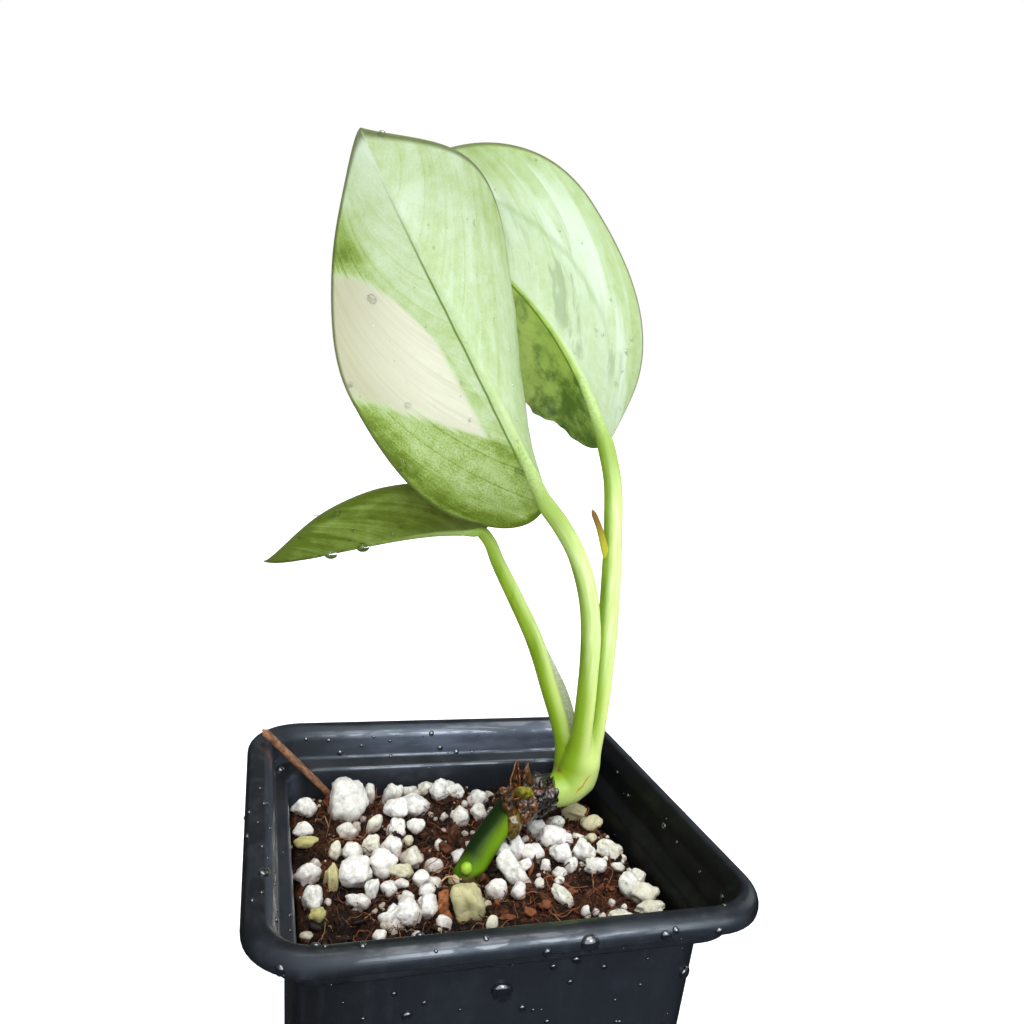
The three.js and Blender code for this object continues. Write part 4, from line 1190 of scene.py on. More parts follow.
# %% [markdown]
# The leaves are variegated: each part of a blade holds much leaf green, little, or none, and the
# borders run along the veins. So the finish first works out one number, how green a point is, and
# both sides of the blade take their colour from it. The underside, which faces the camera, is pale
# and dull. The upper side is darker and glossier. Streaks are clouds that are drawn out along the
# veins, because they are measured by vein and not by place.

# %% Leaf finishes
UNDER_GREENS = [(0.0, (212, 224, 208)), (0.3, (194, 209, 174)), (0.6, (163, 184, 119)),
                (0.8, (130, 153, 66)), (1.0, (86, 107, 16))]
UPPER_GREENS = [(0.0, (226, 232, 190)), (0.35, (178, 207, 120)), (0.65, (104, 152, 50)),
                (1.0, (48, 92, 22))]


def ramp(value, stops):
    return Wire.node(value.tree, "ValToRGB", {"stops": [(at, paint(*rgb)) for at, rgb in stops]},
                     {"Fac": value}, out="Color")


def whole_part(value):
    return value.math("FLOOR", value)


def exponential(value):
    return value.math("EXPONENT", value)


class LeafPlaces:
    """The measures of a leaf's points that its pattern is drawn with."""

    def __init__(self, tree):
        self.tree = tree
        self.along, self.signed, self.side = axes(attribute(tree, "leaf", "Vector"))
        self.vein, self.rim, self.share = axes(attribute(tree, "flow", "Vector"))
        self.out = abs(self.signed)
        self.left = self.signed.rise(0.25, -0.25)
        self.right = 1 - self.left
        hand = self.signed.rise(-0.01, 0.01) * 60
        flow = joined(self.vein, self.out * 0.16, hand)
        flat = joined(self.along, self.signed, 0)
        self.streak = cloud(flow, 1.7, 5, 0.62, 0.4)
        self.broad = cloud(joined(self.vein, self.out * 0.4, hand), 6, 4, 0.6, 0.6)
        self.fine = cloud(joined(self.vein, self.out * 0.12, hand), 0.5, 3, 0.6)
        self.mottle = cloud(flat, 2.6, 5, 0.68, 0.3)
        self.grain = cloud(joined(self.along, self.signed, 0), 0.33, 2, 0.7)
        self.patch = cloud(joined(self.along, self.signed, 20), 7, 4, 0.6)
        self.vein_number = whole_part(self.vein / MAIN_VEIN_GAP + 0.5)
        off = abs(self.vein - self.vein_number * MAIN_VEIN_GAP)
        thin = 0.5 - 0.25 * self.share
        chance = Wire.node(tree, "TexWhiteNoise", {"noise_dimensions": "2D"}, {
            "Vector": joined(self.vein_number, hand, 0)}, out="Value")
        self.main_vein = off.rise(thin, 0) * self.share.rise(0.0, 0.12) * self.rim.rise(0.3, 2.5)
        self.strong_vein = self.main_vein * (0.25 + 0.75 * chance)

    def rib(self, length, wide=1.5, narrow=0.5):
        """1 on the midrib, and 1 in the thin dark line on its left."""
        tapering = wide - (wide - narrow) * (self.along / length)
        near = self.out.rise(tapering, tapering * 0.45)
        line = abs(self.signed + tapering * 0.9 + (self.patch - 0.5) * 0.4).rise(0.3, 0.06)
        return near, line


def front_pattern(p):
    jitter = (p.streak - 0.5) * 7 + (p.grain - 0.5) * 0.8
    above = p.along - (12 + 0.95 * p.out) + jitter
    border = 50 - 45 * exponential(p.out / -4.2)
    beyond = p.along - border + jitter * 0.5
    cream = p.left * above.rise(-0.9, 1.3) * beyond.rise(0.8, -0.8) * (p.out + jitter * 0.12).rise(3.7, 4.9)
    base = p.left * above.rise(1.5, -1.5)
    by_rib = p.left * beyond.rise(1.0, -1.0) * p.out.rise(4.6, 3.6)
    band = p.left * beyond.rise(-0.3, 1.2) * beyond.rise(13, 4) * p.out.rise(5, 12)
    strip = p.left * p.rim.rise(7, 1.5) * beyond.rise(0, 3) * p.along.rise(66, 50)
    low_edge = p.left * p.rim.rise(5.5, 1.0) * above.rise(0, -4)
    tip = p.along.rise(44, 60)
    right_low = p.right * p.along.rise(30, 12)
    fold = p.right * p.rim.rise(7, 3) * p.along.rise(26, 40)
    green = (0.43 + 0.25 * base + 0.1 * by_rib + 0.2 * band + 0.3 * strip + 0.26 * low_edge
             - 0.2 * p.left * tip - 0.13 * p.right * tip + 0.06 * right_low + 0.12 * fold
             + 0.22 * (p.streak - 0.5) + 0.42 * (p.broad - 0.5) + 0.5 * (p.mottle - 0.5)
             + (0.28 + 0.3 * base) * (p.grain - 0.5) + 0.12 * (p.fine - 0.5))
    return green, cream


def back_pattern(p):
    # Painted shade: the left half, folded away from the light, is made greener and darker, most towards its base,
    # mixed with patches of its own mottling.
    left_half_shade = p.left * (0.3 + 0.7 * (p.patch - 0.5) + 0.4 * p.along.rise(34, 8))
    rightmost = p.right * p.rim.rise(9, 3) * 0.16
    tip = p.along.rise(40, 58) * 0.12
    green = (0.34 + left_half_shade + rightmost + tip + 0.16 * (p.streak - 0.5) + 0.5 * (p.broad - 0.5)
             + 0.5 * (p.mottle - 0.5) + 0.1 * (p.fine - 0.5))
    return green, None


def low_pattern(p):
    # Painted shade, with some of the leaf's own green: the low leaf's underside faces down, so its green is set deep
    # all over, and a band along its rim is deeper still, partly a dark margin and partly painted shade.
    edge = p.rim.rise(2.2, 0.4) * 0.2
    green = 0.92 + edge + 0.5 * (p.streak - 0.5) + 0.8 * (p.broad - 0.5) + 0.5 * (p.mottle - 0.5)
    return green, None


def leaf_surface(name, pattern, rib_look):
    length = SURFACES[name].length

    def surface(tree):
        p = LeafPlaces(tree)
        green, cream = pattern(p)
        rib, dark_line = p.rib(length, *rib_look)
        green = green + 0.12 * p.strong_vein
        under = ramp(green, UNDER_GREENS)
        upper = ramp(green + 0.1, UPPER_GREENS)
        if cream is not None:
            outer = (p.share + 0.5 * (p.broad - 0.5)).rise(0.95, 0.35)
            tinted = blend(outer, paint(176, 175, 144), paint(212, 211, 188))
            tinted = blend(p.streak.rise(0.35, 0.65) * 0.5, tinted, paint(194, 188, 164))
            tinted = blend(p.mottle.rise(0.6, 0.75) * 0.5, tinted, paint(184, 191, 150))
            under = blend(cream, under, tinted)
            upper = blend(cream, upper, tinted)
        if name == "back":
            fleck = cloud(joined(p.vein, p.out * 0.55, 7), 4.6, 4, 0.62)
            zone = p.right * p.along.rise(6, 16) * p.along.rise(50, 38) * p.share.rise(0.75, 0.5) * p.out.rise(0.5, 3)
            pale = cloud(joined(p.vein, p.out * 0.5, 40), 6, 3, 0.5)
            under = blend(pale.rise(0.45, 0.62) * p.right * p.share.rise(0.98, 0.75) * p.share.rise(0.3, 0.6) * 0.6, under,
                          paint(220, 232, 216))
            under = blend(fleck.rise(0.52, 0.63) * zone * 0.75, under, paint(142, 158, 124))
            # Painted shade: a darker green line along a crease half-way out on the right half.
            crease_shade_line = abs(p.share - 0.5 + 0.12 * (p.broad - 0.5)).rise(0.04, 0.004)
            under = blend(crease_shade_line * p.right * p.along.rise(54, 44) * p.along.rise(14, 24) * 0.35, under,
                          paint(130, 156, 92))
            # Painted shade: the back leaf's whole underside is dulled, more towards the midrib, as it stands in shade.
            under = blend(0.2 + 0.1 * p.share.rise(0.7, 0.4), under, paint(122, 136, 98))
            # Painted shade and glow on the folded left half: a deep green for its shade and a yellow-green for light
            # shining through, mixed by its own mottling and paler part way along.
            height = 0.2 + 0.45 * p.along.rise(6, 22) * p.along.rise(44, 32)
            fold_shade_and_glow = blend((height + 2.6 * (p.patch - 0.5) + 1.6 * (p.mottle - 0.5)).rise(-0.1, 0.9),
                          paint(78, 112, 0), paint(178, 204, 92))
            under = blend(p.left * 0.82, under, fold_shade_and_glow)
        if name == "low":
            # Painted shade: the low leaf is darkened all over and most near its base, where the front leaf shades it.
            under = blend(0.25 + 0.45 * p.along.rise(26, 6), under, paint(70, 78, 2))
        line_fade = p.along.rise(length * 0.97, length * 0.6) * p.along.rise(-2, length * 0.25)
        under = blend(rib * p.along.rise(length * 0.6, length * 0.05) * 0.55, under, paint(186, 210, 124))
        under = blend(dark_line * line_fade * 0.9, under, paint(88, 124, 8))
        colour = blend(p.side.rise(0.2, 0.6), upper, under)
        speck = Wire.node(tree, "TexVoronoi", {}, {
            "Vector": joined(p.along, p.signed, 3), "Scale": 0.32, "Randomness": 1.0}, out="Distance")
        colour = blend(speck.rise(0.07, 0.045) * 0.5, colour, paint(150, 120, 70))
        margin = p.rim.rise(0.65, 0.15)
        colour = blend(margin * 0.85, colour, paint(84, 92, 40))
        height = 0.25 * p.fine + 0.35 * p.grain + 0.25 * p.main_vein + 0.35 * p.mottle
        dull = 0.52 - 0.2 * p.side.rise(0.6, 0.2) + 0.14 * (p.patch - 0.5)
        body = Wire.node(tree, "BsdfPrincipled", {}, {
            "Base Color": colour, "Roughness": dull, "Normal": relief(height, 0.12, 0.6),
            "Specular IOR Level": 0.25})
        through = Wire.node(tree, "BsdfTranslucent", {}, {"Color": paint(196, 214, 140)})
        return Wire.node(tree, "MixShader", {}, {0: 0.16, 1: body, 2: through})

    return surface


LEAF_LOOKS = {
    "front": (front_pattern, (1.4, 0.4)),
    "back": (back_pattern, (0.95, 0.3)),
    "low": (low_pattern, (1.1, 0.4)),
}
for name, (pattern, rib_look) in LEAF_LOOKS.items():
    surface = finish(f"leaf_{name}", leaf_surface(name, pattern, rib_look))
    settle(blades[name], surface, "leaf", f"blade_{name}")

# %% [markdown]
# Each leaf stalk, or petiole, is a long round piece that clasps the shoot at its foot and runs on
# under the blade as the midrib. So its tube starts inside the shoot's base, wide and a little flat,
# and its last rings lie a few millimetres up the midrib, sunk into the underside. On the side that
# faces the other stalks it is grooved, with two low ridges where its sheath used to be.

# %% Petiole meshes
PETIOLES = {
    "front": {
        "route": [(21.9, 10.2, 69), (23.1, 10, 77.5), (23.3, 9.8, 89.7), (22.85, 9.6, 98.5),
                  (21.3, 9.3, 106.3), (18.25, 9, 113.7), (14.55, 8.6, 119), (10.8, 8, 123.1)],
        "radius": (1.75, 1.85, 1.6), "groove": 70, "foot": 0.35,
    },
    "back": {
        "route": [(25.1, 11.3, 69), (26.7, 12, 78), (27.7, 13, 91), (27.8, 14, 106.2),
                  (27.35, 14.7, 117.8), (26.4, 15.3, 127.3), (24.3, 16, 134.5)],
        "radius": (1.75, 1.95, 1.6), "groove": 150, "foot": 0.3,
    },
    "low": {
        "route": [(21.6, 12.9, 69), (21.1, 13.5, 76), (16.95, 14.8, 88), (13.9, 15.4, 95.7),
                  (9.75, 16, 103.3), (5.4, 16.5, 110.8), (3.85, 16.8, 114), (1.8, 17, 116.1)],
        "radius": (1.45, 1.62, 1.15), "groove": 60, "foot": 0.35,
    },
}
PETIOLE_STEPS = 130
PETIOLE_SIDES = 30
RUN_ON = 34
GROOVE_DEEP = 0.13
FOOT_RISE = 9.0


def petiole_radius(name, at):
    """The mean radius at a distance in millimetres from the foot."""
    shape = PETIOLES[name]
    length = smooth_length(shape["route"])
    return quadratic(shape["radius"], np.clip(at / length, 0, 1)) + shape["foot"] * np.exp(-at / FOOT_RISE)


def petiole_mesh(name):
    shape, surface = PETIOLES[name], SURFACES[name]
    run_on = min(RUN_ON, 0.55 * surface.length)
    along = run_on * np.array([0.06, 0.14, 0.28, 0.45, 0.7, 1])
    centre, _, upper, _ = surface.frame(along)
    tip_radius = 0.28
    sunk = lerp(0.15, tip_radius + 0.35, (along / run_on) ** 0.7)[:, None]
    route = shape["route"] + [tuple(p) for p in centre + upper * (sunk - 0.45)]
    own_length = smooth_length(shape["route"])
    whole_length = smooth_length(route)
    share = np.linspace(0, 1, PETIOLE_STEPS)

    def half_sizes(share, angle):
        at = share * whole_length
        beyond = np.clip((at - own_length) / (whole_length - own_length), 0, 1)
        radius = petiole_radius(name, at)
        radius = lerp(radius, tip_radius, beyond ** 0.55)
        off = (angle - math.radians(shape["groove"]) + np.pi) % (2 * np.pi) - np.pi
        ridges = np.exp(-((np.abs(off) - 0.62) / 0.22) ** 2) - 0.9 * np.exp(-(off / 0.42) ** 2)
        grooved = np.clip((at - 13) / 8, 0, 1) * np.clip(1.1 - at / own_length, 0, 1)
        radius = radius * (1 + GROOVE_DEEP * ridges * grooved)
        swell = 1 + (0.015 * np.sin(at * 0.21 + 1) + 0.012 * np.sin(at * 0.5)) * np.clip((at - 13) / 8, 0, 1)
        return radius * swell, radius * swell

    rings = stem_rings(route, share, PETIOLE_SIDES, half_sizes)
    points, faces = skin(rings)
    angle = np.tile(np.linspace(0, 2 * np.pi, PETIOLE_SIDES, endpoint=False), PETIOLE_STEPS)
    beyond = np.repeat(share * whole_length - own_length, PETIOLE_SIDES)
    return points, faces, np.column_stack([beyond, angle, np.zeros(len(beyond))])


def smooth_length(route):
    places, _ = smooth_route(route, np.linspace(0, 1, 200))
    return np.linalg.norm(np.diff(places, axis=0), axis=1).sum()


def sheet(rows, thick):
    """A thin closed sheet over a grid of points, with rounded free edges."""
    rows = np.asarray(rows, float)
    n, m = rows.shape[:2]
    across = np.gradient(rows, axis=1)
    down = np.gradient(rows, axis=0)
    normal = np.cross(across, down)
    normal /= np.maximum(np.linalg.norm(normal, axis=2, keepdims=True), 1e-9)
    thick = np.broadcast_to(np.asarray(thick, float), (n, m))[..., None]
    one, two = rows + normal * thick / 2, rows - normal * thick / 2
    points = np.concatenate([one.reshape(-1, 3), two.reshape(-1, 3)])
    other = n * m
    faces = []
    for i in range(n - 1):
        for j in range(m - 1):
            a, b, c, d = i * m + j, i * m + j + 1, (i + 1) * m + j + 1, (i + 1) * m + j
            faces += [(a, b, c, d), (d + other, c + other, b + other, a + other)]
    rim = ([(0, j) for j in range(m)] + [(i, m - 1) for i in range(1, n)]
           + [(n - 1, j) for j in range(m - 2, -1, -1)] + [(i, 0) for i in range(n - 2, 0, -1)])
    rim = [i * m + j for i, j in rim]
    for a, b in zip(rim, rim[1:] + rim[:1]):
        faces.append((b, a, a + other, b + other))
    return points, faces


LOW_WING = [(14.4, 15.2, 97.4), (18.4, 14.9, 91), (21.8, 14.9, 85), (23.3, 14.5, 80.5), (23.4, 14, 77)]
BACK_TIP = [(27, 14.4, 111.5), (25.4, 13.4, 114.5), (23.5, 12.3, 118.4), (21.3, 11.5, 122)]
WING_STEPS = 40


def low_wing():
    """The thin dry-edged wing that is left of the sheath along the low petiole."""
    free, _ = smooth_route(LOW_WING, np.linspace(0, 1, WING_STEPS))
    own, _ = smooth_route(PETIOLES["low"]["route"], np.linspace(0, 1, 300))
    root = own[[np.linalg.norm(own - p, axis=1).argmin() for p in free]]
    root = lerp(root[:1], root[-1:], np.linspace(0, 1, WING_STEPS)[:, None]) * 0.3 + root * 0.7
    share = np.linspace(0, 1, 9)
    rows = root[:, None] + (free - root)[:, None] * share[None, :, None]
    wave = 0.14 * np.sin(np.linspace(0, 17, WING_STEPS))[:, None] * share[None, :] ** 2
    rows[..., 1] -= wave
    thick = lerp(0.55, 0.14, share)[None, :] * np.ones((WING_STEPS, 1))
    return sheet(rows, thick)


def back_tip():
    """The free end of the back petiole's sheath, a small dry thorn."""
    share = np.linspace(0, 1, 26)

    def half_sizes(share, angle):
        size = lerp(0.85, 0.5, share) * np.clip((1 - share) / 0.1, 0, 1) ** 0.5
        return size + 0 * angle, size * 0.6 + 0 * angle

    return skin(stem_rings(BACK_TIP, share, 14, half_sizes))


def petiole(name, *extras):
    points, faces, values = petiole_mesh(name)
    parts = [(points, faces)]
    for kind, extra in enumerate(extras, 1):
        parts.append(extra)
        values = np.vstack([values, np.column_stack([
            extra[0][:, 2], np.zeros(len(extra[0])), np.full(len(extra[0]), kind)])])
    return add_mesh(f"petiole_{name}_skin", *gathered(parts), {"stalk": values})


petioles = {
    "front": petiole("front"),
    "back": petiole("back", back_tip()),
    "low": petiole("low", low_wing()),
}

# %% [markdown]
# The shoot's base is the green node out of which the three stalks rise. The old stem leads up to it
# from the left. It lies slantwise, half in the mix, and carries a dormant bud on its upper side and
# the stump of an air root under its end.

# %% Old stem and shoot base
STEM_ROUTE = [(-7.5, -9.5, 52.5), (-3, -5.5, 58), (0.4, -2.4, 61.6), (4, 1, 64.4), (7.6, 4.2, 66.5),
              (11.3, 7.3, 67.9), (13.4, 8.8, 68.2)]
STEM_RADIUS, NODE_RADIUS = 2.5, 2.9
BUD = (seen_at(466.5, 868.5, 62.7), (1.0, 0.95, 1.1))
ROOT_KNOB = ((1.5, 1.3, 2.3), (513, 827, -4.3))
HUSK_START = np.array([8.6, 5.2, 67.0])
HUSK_END = np.array([16.9, 9.2, 68.4])
HUSK_LEFT_PIXEL = 510
HUSK_SLANT = 0.168


def in_picture(x, y, nearer):
    """A point near the husk from its place in the photograph and its depth from the husk's middle."""
    deep = (HUSK_START - np.array(EYE)) @ np.array(ahead) + HUSK_SLANT * (x - HUSK_LEFT_PIXEL) + nearer
    middle = PHOTO_SIDE / 2
    ray = ahead + rightward * ((x - middle) / FOCAL_PIXELS) - upward * ((y - middle) / FOCAL_PIXELS)
    return np.array(Vector(EYE) + ray * deep)


SHOOT_ROUTE = [(13.6, 9, 68.2), (17, 9.5, 67.8), (21.4, 10.4, 68.2), (23.6, 11, 70.6), (24.1, 11.3, 74.6)]


def knob(centre, half, seed, rough=0.06, lean=None):
    points, faces = BALLS[4]
    swell = np.array([noise.noise(Vector(p * 2.2 + seed)) for p in points])
    points = points * (1 + rough * swell)[:, None] * half
    if lean is not None:
        points = points @ np.array(Matrix.Rotation(math.radians(lean), 3, "Y")).T
    return points + centre, faces


def stem_sizes(share, angle):
    swell = np.exp(-((share - 0.9) / 0.09) ** 2)
    scar = np.exp(-((share - 0.245) / 0.012) ** 2)
    radius = STEM_RADIUS + (NODE_RADIUS - STEM_RADIUS) * swell - 0.12 * scar
    radius = radius * (1 + 0.012 * np.sin(3 * angle + 9 * share) + 0.01 * np.sin(5 * angle - 20 * share))
    end = np.clip((1 - share) / 0.03, 0, 1) ** 0.5
    return radius * end, radius * end


stem_share = np.concatenate([np.linspace(0, 0.96, 120), np.linspace(0.965, 1, 10)])
stem_parts = [skin(stem_rings(STEM_ROUTE, stem_share, 44, stem_sizes)), knob(*BUD, 3.0, 0.04),
              knob(in_picture(523, 793, -3.1), (1.9, 0.9, 1.2), 4.0, 0.12)]
stem_kind = np.concatenate([np.full(len(p[0]), k) for k, p in enumerate(stem_parts)])
old_stem = add_mesh("old_stem_skin", *gathered(stem_parts), {"kind": stem_kind})
root_points, root_faces = knob(in_picture(*ROOT_KNOB[1]), ROOT_KNOB[0], 8.0, 0.16)
root_stump = add_mesh("root_stump", root_points, root_faces)


def chain(route, share, radius):
    """A tapering round limb: its centre line with a radius at each point."""
    places, _ = smooth_route(route, share)
    return places, np.asarray(radius, float) * np.ones(len(places))


def limb_distance(points, limb):
    """How far each point is outside a limb."""
    places, radius = limb
    best = np.full(len(points), np.inf)
    for a, b, ra, rb in zip(places, places[1:], radius, radius[1:]):
        along = b - a
        t = np.clip((points - a) @ along / (along @ along), 0, 1)
        gap = np.linalg.norm(points - a - t[:, None] * along, axis=1) - lerp(ra, rb, t)
        best = np.minimum(best, gap)
    return best


def melted(distances, soft):
    """The distance to several limbs that flow into one another over about soft millimetres."""
    stack = np.stack(distances)
    nearest = stack.min(0)
    return nearest - soft * np.log(np.exp(-(stack - nearest) / soft).sum(0))


SLEEVE_TOP = 14.0
SLEEVE_FADE = 4.0
LIMB_SOFT, SHEATH_SOFT = 0.8, 0.32
share = np.linspace(0, 1, 40)
trunk = chain(SHOOT_ROUTE, share, lerp(2.5, 3.45, np.clip(share * 1.6, 0, 1)) - 1.6 * np.clip(share - 0.82, 0, 1) / 0.18)
sleeves = []
for name, shape in PETIOLES.items():
    at = np.linspace(0, SLEEVE_TOP, 40)
    radius = petiole_radius(name, at) + 0.02 - 0.45 * np.clip((at - SLEEVE_TOP + SLEEVE_FADE) / SLEEVE_FADE, 0, 1) ** 2
    sleeves.append(chain(shape["route"], at / smooth_length(shape["route"]), radius))


def shoot_field(points):
    stalks = melted([limb_distance(points, limb) for limb in sleeves], SHEATH_SOFT)
    return melted([stalks, limb_distance(points, trunk)], LIMB_SOFT)


def voxel_skin(limbs, cell):
    """One closed net of even cells over overlapping limbs."""
    parts = []
    for places, radius in limbs:
        n = len(places)
        parts.append(skin(stem_rings(places, np.linspace(0, 1, n), 20, lambda s, a: (
            np.interp(s, np.linspace(0, 1, n), radius) + 0 * a,) * 2)))
    rough = add_mesh("rough", *gathered(parts))
    remesh = rough.modifiers.new("remesh", "REMESH")
    remesh.mode = "VOXEL"
    remesh.voxel_size = cell * MM
    evaluated = rough.evaluated_get(bpy.context.evaluated_depsgraph_get()).data
    points = np.empty(3 * len(evaluated.vertices))
    evaluated.vertices.foreach_get("co", points)
    faces = [tuple(p.vertices) for p in evaluated.polygons]
    old_mesh = rough.data
    bpy.data.objects.remove(rough)
    bpy.data.meshes.remove(old_mesh)
    return points.reshape(-1, 3) / MM, faces


shoot_points, shoot_faces = voxel_skin([trunk, *sleeves], 0.24)
for _ in range(7):
    outside = shoot_field(shoot_points)
    slope = np.stack([shoot_field(shoot_points + step) - shoot_field(shoot_points - step)
                      for step in np.eye(3) * 0.02], 1) / 0.04
    steep = np.maximum((slope ** 2).sum(1), 0.2)
    shoot_points = shoot_points - slope * (np.clip(outside, -0.5, 0.5) / steep)[:, None]
shoot_base = add_mesh("shoot_base_skin", shoot_points, shoot_faces)
print(f"shoot base: {len(shoot_points)} points, largest gap to its field "
      f"{np.abs(shoot_field(shoot_points)).max():.3f} mm")

# %% [markdown]
# The husk is the dead sheath of an old leaf, torn open at the node. It is a sleeve of thin brown
# sheet whose free edge stands up in two narrow spikes, with folds and creases that random noise
# bends into it. What the sleeve leaves bare is the stem's cut face, still a dull yellow-green.

# %% Dry husk and dry stalk
HUSK_RADIUS = 3.3
STALK_ROUTE = [(-19.6, 26.7, 58.4), (-22.6, 27, 61.6), (-29, 27.5, 68.1), (-34.9, 28, 74)]

husk_along = HUSK_END - HUSK_START
husk_wide = np.cross([0, 0, 1], husk_along)
husk_wide /= np.linalg.norm(husk_wide)
husk_up = np.cross(husk_along, husk_wide)
husk_up /= np.linalg.norm(husk_up)


def turn_gap(angle, at):
    """The angle in degrees from a given place round the sleeve."""
    return (np.degrees(angle) - at + 180) % 360 - 180


def husk_sheet(first_angle, last_angle, first_share, last_share, lift, flare, seed, steps=(110, 26), thick=0.3):
    """A crumpled part of the sleeve; flare(angle, edge) lifts its edges off the node."""
    angle = np.radians(np.linspace(first_angle, last_angle, steps[0]))[:, None]
    edge = np.linspace(0, 1, steps[1])[None, :]
    ragged = 0.05 * np.sin(5 * angle + seed) + 0.035 * np.sin(13 * angle + 2 * seed)
    share = lerp(first_share, last_share, edge) + ragged * (2 * edge - 1)
    radius = HUSK_RADIUS + lift + flare(angle, edge) + 0 * angle
    rows = (HUSK_START + share[..., None] * husk_along
            + (radius * np.cos(angle))[..., None] * husk_wide + (radius * np.sin(angle))[..., None] * husk_up)
    for i, j in np.ndindex(rows.shape[:2]):
        p = Vector(rows[i, j])
        rows[i, j] += 0.55 * np.array(noise.noise_vector(p * 0.5 + Vector((seed, 0, 0))))
        rows[i, j] += 0.3 * np.array(noise.noise_vector(p * 1.5 + Vector((0, seed, 0))))
    return sheet(rows, thick)


def torn_left(angle, edge):
    return (1 - edge) * (0.3 + 0.4 * np.sin(6 * angle))


def torn_right(angle, edge):
    return edge * (0.2 + 0.35 * np.sin(7 * angle + 1)) + 0.25 * (1 - edge) * np.sin(9 * angle)


def ribbon(left, right, nearer, bulge, seed, crumple=0.35, thick=0.24):
    """A crumpled strip between two edges given in the photograph; bulge bends its middle away."""
    rows, columns = 44, 18
    at = np.linspace(0, 1, rows)
    edges = []
    for edge in (left, right):
        edge = np.asarray(edge, float)
        own = np.linspace(0, 1, len(edge))
        edges.append(np.stack([np.interp(at, own, edge[:, k]) for k in range(2)], 1))
    across = np.linspace(0, 1, columns)
    grid = np.empty((rows, columns, 3))
    for i, j in np.ndindex(rows, columns):
        x, y = lerp(edges[0][i], edges[1][i], across[j])
        bend = nearer + bulge * (1 - (2 * across[j] - 1) ** 2)
        grid[i, j] = in_picture(x, y, bend)
        p = Vector(grid[i, j])
        grid[i, j] += crumple * np.array(noise.noise_vector(p * 0.9 + Vector((seed, 0, 0))))
        grid[i, j] += 0.45 * crumple * np.array(noise.noise_vector(p * 2.6 + Vector((0, seed, 0))))
    return sheet(grid, thick)


husk_parts = [
    husk_sheet(20, 330, 0.02, 0.4, 0.0, torn_left, 1.3),
    husk_sheet(60, 300, 0.5, 0.93, 0.1, torn_right, 5.1),
    ribbon([(505, 803), (509, 790), (511, 777), (514, 767), (516.5, 760)],
           [(518, 802), (520, 790), (520, 779), (518.5, 769), (517.5, 760)], -1.8, 1.3, 2.0, 0.2),
    ribbon([(522, 802), (523, 789), (523, 777), (525, 768), (526.8, 763)],
           [(531, 800), (533, 788), (532, 778), (529.5, 770), (527.8, 763)], -2.4, -0.7, 3.0, 0.22),
    ribbon([(516, 790), (517, 780), (519, 771)], [(525, 790), (525, 779), (523, 771)], -0.6, 0.5, 4.0, 0.3),
    ribbon([(500, 788), (501, 796), (503, 806), (507, 816)],
           [(512, 786), (514, 797), (516, 808), (519, 818)], -3.1, -1.0, 5.0, 0.4),
    ribbon([(514, 798), (517, 806), (520, 815), (521, 824)],
           [(521, 797), (525, 806), (527, 817), (525, 827)], -3.6, -0.7, 6.0, 0.3),
    ribbon([(527, 786), (529, 797), (529, 806), (527, 813)],
           [(553, 782), (556, 792), (554, 803), (545, 814)], -3.3, -1.2, 7.0, 0.75),
    ribbon([(536, 797), (538, 788), (541, 778)], [(548, 797), (546, 788), (542.5, 778)], -3.9, -0.7, 8.0, 0.3),
    ribbon([(546, 803), (547, 790), (549, 777)], [(556, 802), (556, 789), (553, 777)], -3.0, -1.0, 9.0, 0.3),
    ribbon([(524, 808), (527, 814), (524, 822)], [(540, 803), (545, 810), (534, 818)], -3.2, -0.8, 10.0, 0.5),
]
husk = add_mesh("dry_husk_skin", *gathered(husk_parts), {
    "torn": np.concatenate([np.full(len(p[0]), k) for k, p in enumerate(husk_parts)])})


def stalk_sizes(share, angle):
    size = 0.66 * (1 + 0.04 * np.sin(23 * share) + 0.04 * np.sin(3 * angle + 4 * share)) * (1 + 0.15 * share)
    size = size * np.clip((1 - share) / 0.03, 0.35, 1)
    return size, size


stalk = add_mesh("dry_stalk_skin", *skin(stem_rings(STALK_ROUTE, np.linspace(0, 1, 90), 16, stalk_sizes)))

# %% [markdown]
# The stalks are a fresh yellow-green, with painted light and shade: paler on the side that the light
# strikes, deeper green on the other, and each stalk given its own amount of painted shade. Their skin
# is drawn out along them, in stripes that are measured round the stalk. Where a sheath has dried it is
# thin, pale and brown at the edge. The old stem is painted dark where it faces up and left and bright
# green where it faces right and down, and the husk is painted darker to the right, as shade among its flaps.

# %% Finishes of the stalks, stem and shoot
def fresh_skin(place, stripe, shade=0.0, contrast=1.0):
    """Colour, bump height and roughness of the stalks' fresh skin, the same on shoot and stalks; the colour holds
    painted light and shade, by which way the skin faces.
    """
    x, y, z = axes(place)
    broad = cloud(stretched(place, 1, 1, 0.3), 2.2, 3, 0.5)
    nx, ny, nz = axes(Wire.node(place.tree, "NewGeometry", out="Normal"))
    drawn = (stripe - 0.5) * z.rise(73, 86)
    # Painted light and shade: the skin is paler where it faces right, towards the light, and deeper green on the far
    # side; shade darkens a whole stalk.
    lit = nx * 0.95 - ny * 0.2 - nz * 0.25 + 0.25 * drawn
    lit_less_shade = lit * contrast - shade
    deep = blend(broad.rise(0.35, 0.65), paint(104, 136, 10), paint(130, 156, 38))
    pale = blend((drawn + 0.5).rise(0.3, 0.7), paint(182, 206, 112), paint(202, 220, 156))
    colour = blend(lit_less_shade.rise(-0.45, 0.55), deep, pale)
    low = blend(lit.rise(-0.45, 0.8), paint(126, 156, 26), paint(200, 216, 126))
    colour = blend(z.rise(98, 85) * 0.95, colour, low)
    return colour, 0.7 * drawn + 0.3 * broad, 0.36 + 0.2 * (broad - 0.5)


